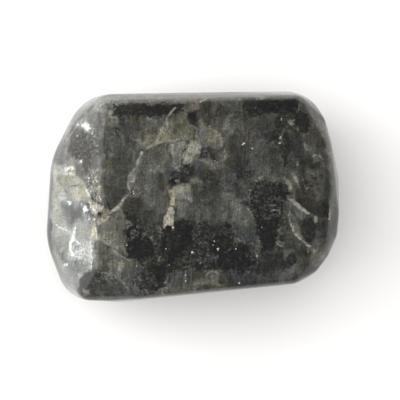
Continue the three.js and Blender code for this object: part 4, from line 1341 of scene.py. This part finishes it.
def stray_grain(half_sizes):
    """Distance to one ellipsoid, set on the surface at a random place and turned at random."""
    low = np.flatnonzero(surface[:, 2] < STRAY_LEVEL)
    middle = surface[dice.choice(list(low))]
    turn = Euler([dice.uniform(0, math.tau) for _ in range(3)]).to_matrix()
    local = (rock - middle) @ np.array(turn) / np.array(half_sizes)
    reach = np.linalg.norm(local, axis=1)
    steepness = np.linalg.norm(local / np.array(half_sizes), axis=1)
    return reach * (reach - 1) / np.maximum(steepness, TINY)


print("vertices that can carry a stray grain:", (surface[:, 2] < STRAY_LEVEL).sum())

# %% Layers
# The glint layer holds no mineral: it holds painted highlights, nearly white spots in the colour.
MINERALS = ("black", "mottled", "granular", "pale", "white", "rust", "painted_glint")
layers = {name: np.full(len(rock), FAR) for name in MINERALS}
strengths = {name: np.ones(len(rock)) for name in MINERALS}


def lay(mineral, distance, strength=1.0):
    """Adds a grain to a layer, which keeps the distance and strength of its nearest grain."""
    nearer = distance < layers[mineral]
    layers[mineral][nearer] = distance[nearer]
    strengths[mineral][nearer] = strength


print("layers:", ", ".join(MINERALS))

# %% Stray grains
STRAY_VEINS = 9
VEIN_HALVES = [(3, 7), (1.5, 4), (0.1, 0.22)]  # half of a vein's length, width and thickness
VEIN_STRENGTH = (0.3, 0.8)


def draw(value):
    """A pair is drawn by chance between its two ends, and a plain number stays as it is."""
    return dice.uniform(*value) if isinstance(value, tuple) else value


def scatter(mineral, count, half_length, width, depth, strength):
    """Stray grains of one mineral. Width and depth are shares of the length."""
    for _ in range(count):
        size = draw(half_length)
        halves = (size, size * draw(width), size * draw(depth))
        lay(mineral, stray_grain(halves), draw(strength))


scatter("black", count=26, half_length=(0.7, 2.2), width=(0.4, 0.9), depth=0.6, strength=0.9)
scatter("mottled", count=26, half_length=(1.2, 3.0), width=(0.4, 0.9), depth=0.7, strength=0.7)
for _ in range(STRAY_VEINS):
    halves = [draw(span) for span in VEIN_HALVES]
    lay("pale", stray_grain(halves), draw(VEIN_STRENGTH))
scatter("pale", count=8, half_length=(0.4, 0.9), width=0.6, depth=0.5, strength=(0.4, 0.9))
scatter("rust", count=4, half_length=(0.6, 1.2), width=0.7, depth=0.5, strength=0.5)
# Painted highlights: small nearly white spots, scattered as glints on the sides too.
scatter("painted_glint", count=40, half_length=(0.1, 0.18), width=1.0, depth=1.0, strength=1.0)
print("vertices inside a stray black grain:", (layers["black"] < 0).sum())

# %% [markdown]
# ## Lay the named grains
# Each named grain now goes into its mineral's layer. Seen from above it is its outline, but
# it must not run down the sides like paint, so it ends at a floor inside the rock. The larger
# of the two distances does both, as it is negative only in the outline and above the floor.

# %% Lay the named grains
GRAIN_FLOOR = 9.5  # named grains end at about this height
CRISP = 2.5  # how much less than a grain a thin line is torn by the edge noise
plan = rock[:, :2]
buried = GRAIN_FLOOR - surface[:, 2]


def lay_named(mineral, outlines, threads, crispness=1.0):
    for strength, corners in outlines.values():
        lay(mineral, np.maximum(distance_to_outline(plan, corners), buried), strength)
    for strength, stops in threads.values():
        lay(mineral, np.maximum(crispness * distance_to_thread(plan, stops), buried), strength)


lay_named("black", BLACK_GRAINS, BLACK_THREADS, CRISP)
lay_named("mottled", MOTTLED_GRAINS, {})
lay_named("granular", GRANULAR, {})
lay_named("pale", PALE_CRYSTALS, VEINS)
lay_named("white", WHITE_CRYSTALS, WHITE_THREADS, CRISP)
lay_named("rust", RUST, RUST_THREADS, CRISP)
for strength, x, y, width, line in RINGS.values():
    ring = np.abs(np.hypot(plan[:, 0] - x, plan[:, 1] - y) - width / 2) - line / 2
    lay("black", np.maximum(CRISP * ring, buried), strength)
# The listed glints are painted highlights, laid as small spots.
for x, y, radius in PAINTED_GLINTS:
    spot = np.hypot(surface[:, 0] - x, surface[:, 1] - y) - radius
    lay("painted_glint", np.maximum(spot, buried))
print("vertices inside a black grain:", (layers["black"] < 0).sum())

# %% [markdown]
# ## Paint the washes
# A wash moves the tone and the warmth towards its own, fully inside its outline and less and
# less across its soft edge. The edge is torn by a few tenths of a millimetre, since crystals
# of feldspar grow into each other. All washes fade out down the sides.

# %% Paint the washes
FADE = 2.0  # the washes fade in over this height, above the level of the stray grains
TEARS = [(2.4, 0.55), (0.9, 0.3)]  # size and reach of the wobbles in a wash's edge


def smooth_step(values):
    values = np.clip(values, 0, 1)
    return values * values * (3 - 2 * values)


in_view = smooth_step((surface[:, 2] - STRAY_LEVEL) / FADE)
torn = wobbled(rock, TEARS)[:, :2]
for washes in (BACK_WASHES, RIGHT_WASHES, FRONT_WASHES, SLOPE_WASHES_AND_SHEEN, LAST_WASHES):
    for wash_tone, wash_warmth, softness, corners in washes.values():
        cover = in_view * smooth_step(0.5 - distance_to_outline(torn, corners) / softness)
        tone += cover * (wash_tone - tone)
        warmth += cover * (wash_warmth - warmth)
print("tone from", round(tone.min(), 2), "to", round(tone.max(), 2), "stops")

# %% [markdown]
# ## Store the layers
# An attribute is a number that each vertex carries, and a material can read it by its name.
# A colour attribute could hold them too, but only four at a time, and without their own names.

# %% Store the layers
SLOPE_EDGE = -11.8  # the sloping end lies to the left of this x
SLOPE_BLEND = 1.0  # and its finish blends in over this width


def store(name, values):
    layer = stone.data.attributes.new(name, "FLOAT", "POINT")
    layer.data.foreach_set("value", values.astype(np.float32))


for name in MINERALS:
    store(name, layers[name])
    if name != "painted_glint":
        store(name + "_strength", strengths[name])
store("slope", smooth_step((SLOPE_EDGE - surface[:, 0]) / SLOPE_BLEND))
store("tone", tone)
store("warmth", warmth)
print("attributes:", len(stone.data.attributes))

# %% [markdown]
# ## The polished rock
# The finish is one material for the whole stone, because one polish runs over all its
# minerals. Its patterns are in millimetres of the stone's own space, so they go round every
# edge without a seam. The helpers below keep the recipe readable, by adding a node or two each.

# %% Helpers: nodes
finish = bpy.data.materials.new("polished_larvikite")
finish.use_nodes = True
nodes = finish.node_tree.nodes
links = finish.node_tree.links
nodes.clear()


def add_node(kind, **settings):
    node = nodes.new(kind)
    for name, value in settings.items():
        setattr(node, name, value)
    return node


def feed(socket, value):
    """A socket takes another socket's result, or a plain value."""
    if isinstance(value, bpy.types.NodeSocket):
        links.new(value, socket)
    else:
        socket.default_value = value


def calc(operation, a, b=0.0, c=0.0):
    node = add_node("ShaderNodeMath", operation=operation)
    for socket, value in zip(node.inputs, (a, b, c)):
        feed(socket, value)
    return node.outputs[0]


def ramp(value, start, end, low=0.0, high=1.0):
    """Runs smoothly from low at start to high at end."""
    node = add_node("ShaderNodeMapRange", interpolation_type="SMOOTHSTEP")
    feed(node.inputs["Value"], value)
    limits = {"From Min": start, "From Max": end, "To Min": low, "To Max": high}
    for name, limit in limits.items():
        feed(node.inputs[name], limit)
    return node.outputs["Result"]


def blend(amount, a, b):
    node = add_node("ShaderNodeMix", data_type="RGBA")
    feed(node.inputs["Factor"], amount)
    feed(node.inputs["A"], a)
    feed(node.inputs["B"], b)
    return node.outputs["Result"]


def times(gain, colour):
    """A colour times a gain, or times another colour."""
    node = add_node("ShaderNodeVectorMath", operation="MULTIPLY")
    feed(node.inputs[0], gain)
    feed(node.inputs[1], colour)
    return node.outputs["Vector"]


print("material:", finish.name)

# %% Helpers: patterns
place = add_node("ShaderNodeTexCoord").outputs["Object"]


def in_mm(size, stretch=(1, 1, 1)):
    """Object coordinates where one unit is size mm. A stretch above 1 draws a pattern out."""
    node = add_node("ShaderNodeMapping")
    links.new(place, node.inputs["Vector"])
    node.inputs["Scale"].default_value = [1 / (size * MM * s) for s in stretch]
    return node.outputs["Vector"]


def speckle(size, detail=3.0, roughness=0.55, stretch=(1, 1, 1), distortion=0.0):
    """Cloudy noise from 0 to 1, whose blotches are size mm across."""
    node = add_node("ShaderNodeTexNoise")
    links.new(in_mm(size, stretch), node.inputs["Vector"])
    node.inputs["Scale"].default_value = 1
    node.inputs["Detail"].default_value = detail
    node.inputs["Roughness"].default_value = roughness
    node.inputs["Distortion"].default_value = distortion
    return node.outputs["Fac"]


def patches(size, waviness):
    """Crystals about size mm across: two random values, each the same all over a crystal."""
    wave = add_node("ShaderNodeTexNoise")
    links.new(in_mm(size), wave.inputs["Vector"])
    wave.inputs["Scale"].default_value = 1.5  # waves to a crystal
    wave.inputs["Detail"].default_value = 3
    shift = add_node("ShaderNodeVectorMath", operation="MULTIPLY_ADD")
    links.new(wave.outputs["Color"], shift.inputs[0])
    shift.inputs[1].default_value = (waviness, waviness, waviness)
    links.new(in_mm(size, stretch=(1, 1.4, 1)), shift.inputs[2])
    cells = add_node("ShaderNodeTexVoronoi")
    links.new(shift.outputs["Vector"], cells.inputs["Vector"])
    cells.inputs["Scale"].default_value = 1
    parts = add_node("ShaderNodeSeparateColor")
    links.new(cells.outputs["Color"], parts.inputs["Color"])
    return parts.outputs["Red"], parts.outputs["Green"]


print("pattern helpers ready, on", len(nodes), "node")

# %% Helpers: minerals


def mineral(name):
    return add_node("ShaderNodeAttribute", attribute_name=name).outputs["Fac"]


def centred(value, amount):
    """Noise from 0 to 1 made into a swing of amount either way."""
    return calc("MULTIPLY_ADD", value, 2 * amount, -amount)


def cover_of(name, raggedness, edge):
    """How much of a mineral shows: 1 inside its grains and 0 outside, times its strength."""
    distance = calc("ADD", mineral(name), raggedness)
    return calc("MULTIPLY", ramp(distance, edge, -edge), mineral(name + "_strength"))


print("mineral helpers ready, for", len(MINERALS), "minerals")

# %% [markdown]
# ## Feldspar
# A feldspar crystal isn't one grey. It has clouds about a millimetre wide, fine streaks along
# its cleavage, and a grain of tiny inclusions. A painted texture would blur close up, so each
# is a layer of noise of its own size, and they add up to a swing of the tone in stops.

# %% Feldspar tone
# How far each pattern swings the tone either way, in stops.
WIDE_CLOUDS = 1.1
CLOUDS = 1.25
STREAKS = 1.05
PATCHES = 0.35  # the warmth swings by as much
PEPPER = 4.5
FLECKS = 0.8
SLOPE_CALM = 0.6  # the swings on the sloping end, as a share of those on the top
on_slope = mineral("slope")
wide_clouds = centred(speckle(2.8, detail=2.0), WIDE_CLOUDS)
small_clouds = speckle(0.9, detail=3.0, roughness=0.5, stretch=(0.9, 1.3, 1.0), distortion=0.6)
clouds = centred(small_clouds, CLOUDS)
up_streaks = speckle(0.45, detail=3.0, stretch=(0.35, 4.0, 1.5))
cross_streaks = speckle(0.5, detail=3.0, stretch=(5.0, 0.35, 1.5))
streaks = centred(ramp(on_slope, 0.0, 1.0, up_streaks, cross_streaks), STREAKS)
fleck = speckle(0.3, detail=2.0, roughness=0.6)
pale_flecks = ramp(fleck, 0.62, 0.76, high=FLECKS)
dark_flecks = ramp(fleck, 0.38, 0.25, high=FLECKS)
flecks = calc("SUBTRACT", pale_flecks, dark_flecks)
patch_tone, patch_warmth = patches(1.5, waviness=0.5)
swing = calc("ADD", calc("ADD", wide_clouds, clouds), calc("ADD", streaks, flecks))
swing = calc("ADD", swing, centred(patch_tone, PATCHES))
calm = ramp(on_slope, 0.0, 1.0, 1.0, SLOPE_CALM)
granular = cover_of("granular", centred(speckle(1.0, detail=4.0), 1.2), edge=0.4)
pepper = centred(speckle(0.36, detail=2.0, roughness=0.5), PEPPER)
swing = calc("MULTIPLY_ADD", granular, pepper, calc("MULTIPLY", swing, calm))
stops = calc("ADD", mineral("tone"), swing)
print("feldspar tone: nodes so far", len(nodes))

# %% Feldspar colour
FELDSPAR = (0.0500, 0.0502, 0.0430)  # at a tone of 0
PLAIN = (1.0, 1.0, 1.0)
WARMER = (0.05, -0.02, -0.24)  # what a warmth of 1 adds to the red, green and blue
tint = add_node("ShaderNodeVectorMath", operation="MULTIPLY_ADD")
warm_swing = calc("MULTIPLY", centred(patch_warmth, PATCHES), calm)
links.new(calc("ADD", mineral("warmth"), warm_swing), tint.inputs[0])
tint.inputs[1].default_value = WARMER
tint.inputs[2].default_value = PLAIN
feldspar = times(times(calc("POWER", 2.0, stops), tint.outputs["Vector"]), FELDSPAR)
print("feldspar colour: nodes so far", len(nodes))

# %% [markdown]
# ## Black and mottled grains
# The distance to a grain is made ragged by noise, and its edge is then drawn within about a
# tenth of a millimetre. It could be drawn by the vertices alone, but they stand wider apart
# than that. Black pyroxene holds a few grey specks. Mottled grains are half feldspar: noise
# picks which spots are black, and a few pale dots lie between them.

# %% Edges of the dark grains
RAGGED = 0.8  # how far the noise moves an edge either way, in mm
FINE_RAGGED = 0.3
MOTTLED_RAGGED = 1.4  # the same for a mottled grain, as a share of that for a black one
HALO_WIDTH = 0.5  # the rock close around a black grain is shaded by it
HALO = 0.4
ragged = centred(speckle(1.2, detail=5.0, roughness=0.65), RAGGED)
fine_ragged = centred(speckle(0.3, detail=2.0), FINE_RAGGED)
raggedness = calc("ADD", ragged, fine_ragged)
black_cover = cover_of("black", raggedness, edge=0.12)
mottled_cover = cover_of("mottled", calc("MULTIPLY", raggedness, MOTTLED_RAGGED), edge=0.25)
halo = ramp(calc("ADD", mineral("black"), raggedness), HALO_WIDTH, 0.0, high=HALO)
halo = calc("MULTIPLY", halo, mineral("black_strength"))
print("dark edges: nodes so far", len(nodes))

# %% Black and mottled colour
BLACK = (0.0050, 0.0050, 0.0053, 1)
DARK = (0.0240, 0.0238, 0.0210, 1)
SHADE = (0.0155, 0.0154, 0.0138, 1)
PALE_DOT = (0.0850, 0.0850, 0.0760, 1)
SHADED = 0.7  # how far the ground of a mottled grain goes towards SHADE
spots = speckle(0.36, detail=3.0, roughness=0.65)
dark_dots = ramp(spots, 0.54, 0.42)
pale_dots = ramp(spots, 0.60, 0.72, high=0.45)
black_patches = ramp(speckle(0.5, detail=4.0, roughness=0.65), 0.50, 0.74)
black_rock = blend(black_patches, BLACK, DARK)
mottled_black = calc("MULTIPLY", mottled_cover, dark_dots)
body = blend(calc("MULTIPLY", mottled_cover, SHADED), feldspar, SHADE)
body = blend(calc("MULTIPLY", halo, speckle(0.4, detail=2.0)), body, SHADE)
body = blend(mottled_black, body, BLACK)
body = blend(calc("MULTIPLY", mottled_cover, pale_dots), body, PALE_DOT)
body = blend(black_cover, body, black_rock)
print("black and mottled colour: nodes so far", len(nodes))

# %% [markdown]
# ## Veins, white crystals, rust and painted glints
# The vein filling is cream and slightly cloudy. White crystals are crushed feldspar, so they
# show as white granules. Rust has seeped in beside the pits, and stains without hiding what
# lies under it, so it multiplies the colour where the others cover it.

# %% Vein and white colour
CREAM = (0.300, 0.292, 0.245, 1)
DULL_CREAM = (0.130, 0.131, 0.113, 1)
WHITE = (0.660, 0.670, 0.640, 1)
vein_cloud = ramp(speckle(0.5, detail=3.0, roughness=0.6), 0.35, 0.62)
vein_rock = blend(vein_cloud, DULL_CREAM, CREAM)
vein_cover = cover_of("pale", centred(speckle(0.45, detail=3.0), 0.12), edge=0.08)
body = blend(vein_cover, body, vein_rock)
granules = ramp(speckle(0.3, detail=3.0, roughness=0.65), 0.34, 0.50)
white_cover = cover_of("white", centred(speckle(0.5, detail=4.0), 0.45), edge=0.12)
body = blend(calc("MULTIPLY", white_cover, granules), body, WHITE)
print("vein and white colour: nodes so far", len(nodes))

# %% Rust, painted glints and fine grain
RUST_STAIN = (1.05, 0.76, 0.58)
# The glint colour is a painted highlight, nearly white.
PAINTED_GLINT_COLOUR = (0.600, 0.600, 0.570, 1)
FINE_GRAIN = 0.9  # swings of the finest grain, in stops
COARSER_GRAIN = 1.0
rust_edge = centred(speckle(0.6, detail=4.0, roughness=0.6), 1.2)
rust_cover = cover_of("rust", rust_edge, edge=0.3)
body = blend(rust_cover, body, times(body, RUST_STAIN))
# Painted highlights: each glint spot turns the colour nearly white, for a cleavage face that catches the
# light.
painted_glint_edge = calc("ADD", mineral("painted_glint"), centred(speckle(0.2, detail=1.0), 0.2))
painted_glint_cover = ramp(painted_glint_edge, 0.0, -0.1, high=0.8)
body = blend(painted_glint_cover, body, PAINTED_GLINT_COLOUR)
fine_grain = centred(speckle(0.13, detail=1.0), FINE_GRAIN)
coarser_grain = centred(speckle(0.28, detail=1.0), COARSER_GRAIN)
grain = calc("ADD", fine_grain, coarser_grain)
body = times(calc("POWER", 2.0, calc("MULTIPLY", grain, calm)), body)
print("rust, glint and grain: nodes so far", len(nodes))

# %% [markdown]
# ## Polish
# The tumbler's last grit leaves a gloss, but not a mirror: hard feldspar takes the best
# polish, and black grains and veins stay duller. One roughness for all would look like
# lacquer, so each mineral adds its own. Fine relief breaks the highlights up.

# %% Roughness and relief
FELDSPAR_IOR = 1.54
FELDSPAR_ROUGHNESS = 0.19
ROUGHNESS_SWING = 0.08
BLACK_DULLER = 0.06
PALE_DULLER = 0.14  # veins and white crystals
SUNK = -0.25  # veins and black spots lie lower by this share of the fine relief
COARSE_RELIEF = 1.5  # as a share of the fine relief
RELIEF_DEPTH = 0.04
RELIEF_STRENGTH = 0.5
dullness = calc("ADD", FELDSPAR_ROUGHNESS, centred(speckle(1.1), ROUGHNESS_SWING))
dullness = calc("MULTIPLY_ADD", black_cover, BLACK_DULLER, dullness)
dullness = calc("MULTIPLY_ADD", vein_cover, PALE_DULLER, dullness)
dullness = calc("MULTIPLY_ADD", white_cover, PALE_DULLER, dullness)
relief = calc("MULTIPLY", speckle(1.3), COARSE_RELIEF)
relief = calc("ADD", speckle(0.35, detail=3.0, roughness=0.6), relief)
relief = calc("MULTIPLY_ADD", vein_cover, SUNK, relief)
relief = calc("MULTIPLY_ADD", mottled_black, SUNK, relief)
bump = add_node("ShaderNodeBump")
bump.inputs["Strength"].default_value = RELIEF_STRENGTH
bump.inputs["Distance"].default_value = RELIEF_DEPTH * MM
links.new(relief, bump.inputs["Height"])
print("roughness from about", FELDSPAR_ROUGHNESS, "- relief", RELIEF_DEPTH, "mm")

# %% Put the finish on the stone
polish = add_node("ShaderNodeBsdfPrincipled")
polish.inputs["IOR"].default_value = FELDSPAR_IOR
links.new(body, polish.inputs["Base Color"])
links.new(dullness, polish.inputs["Roughness"])
links.new(bump.outputs["Normal"], polish.inputs["Normal"])
output = add_node("ShaderNodeOutputMaterial")
links.new(polish.outputs["BSDF"], output.inputs["Surface"])
stone.data.materials.clear()
stone.data.materials.append(finish)
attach(stone, "root")
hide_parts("stone")
print("finish has", len(nodes), "nodes")

# %% [markdown]
# ## The studio
# The stone lies on a plain white floor that reaches far past what the camera sees. It could
# be a sheet with a sweep up behind, as in a studio, but from above a flat one does the same.
# Fine paper isn't glossy, so the floor is rough and hardly reflects.

# %% Floor
FLOOR_SIZE = 4.0  # metres
PAPER = (0.89, 0.875, 0.865, 1)
bpy.ops.object.select_all(action="DESELECT")
bpy.ops.mesh.primitive_plane_add(size=FLOOR_SIZE, location=(0, 0, 0))
floor = bpy.context.object
floor.name = "floor"
paper = bpy.data.materials.new("white_paper")
paper.use_nodes = True
sheet = paper.node_tree.nodes["Principled BSDF"]
sheet.inputs["Base Color"].default_value = PAPER
sheet.inputs["Roughness"].default_value = 0.9
sheet.inputs["Specular IOR Level"].default_value = 0.2
floor.data.materials.append(paper)
print("floor:", FLOOR_SIZE, "m wide")

# %% [markdown]
# ## Lights
# A polished stone shows its light twice: as brightness, and as a reflection in the gloss. A
# long low panel on the left, like a window, makes the haze on the sloping end. A side panel
# near it brightens that end without being mirrored, and a wide one overhead makes the even
# light and the soft shadow. Point lights would leave hard shadows and small hot spots.

# %% Lights
ROOM = (0.22, 0.22, 0.22, 1)  # a dim grey from all around


def add_panel(name, place_m, width, height, radiance, mirrored):
    """A soft panel that faces the stone. Its place and size are in metres."""
    light = bpy.data.lights.new(name, "AREA")
    light.shape = "RECTANGLE"
    light.size = width
    light.size_y = height
    light.energy = radiance * math.pi * width * height
    panel = bpy.data.objects.new(name, light)
    panel.location = place_m
    panel.rotation_euler = (-Vector(place_m)).to_track_quat("-Z", "Y").to_euler()
    panel.visible_glossy = mirrored
    panel.visible_camera = False
    bpy.context.collection.objects.link(panel)


add_panel("window", (-0.50, 0.12, 0.26), width=1.2, height=0.45, radiance=1.6, mirrored=True)
add_panel("side", (-0.60, 0.05, 0.28), width=0.5, height=0.4, radiance=3.0, mirrored=False)
add_panel("ceiling", (-0.05, 0.12, 0.80), width=1.2, height=1.2, radiance=2.1, mirrored=False)
room = bpy.data.worlds.new("room")
room.use_nodes = True
room.node_tree.nodes["Background"].inputs["Color"].default_value = ROOM
bpy.context.scene.world = room
bpy.context.scene.view_settings.view_transform = "Standard"

# %% [markdown]
# ## Camera
# The stone is seen from straight above, as on a copy stand. A near camera would make the top
# look larger than the base, so this one stands 300 mm away and looks through a long lens.

# %% Camera
LEVEL = 8.2  # height of the outline, which sets the scale
DISTANCE = 300
VIEW_WIDTH = 50  # how much the camera sees across at that height
MIDDLE_X = 0.97
MIDDLE_Y = -0.38
SENSOR = 36
NEAREST = 0.01  # what the camera can see, in metres
FARTHEST = 20
lens = bpy.data.cameras.new("camera")
lens.sensor_width = SENSOR
lens.lens = SENSOR * DISTANCE / VIEW_WIDTH
lens.clip_start = NEAREST
lens.clip_end = FARTHEST
camera = bpy.data.objects.new("camera", lens)
camera.location = (MIDDLE_X * MM, MIDDLE_Y * MM, (LEVEL + DISTANCE) * MM)
bpy.context.collection.objects.link(camera)
bpy.context.scene.camera = camera
print("camera lens:", round(lens.lens, 1), "mm")
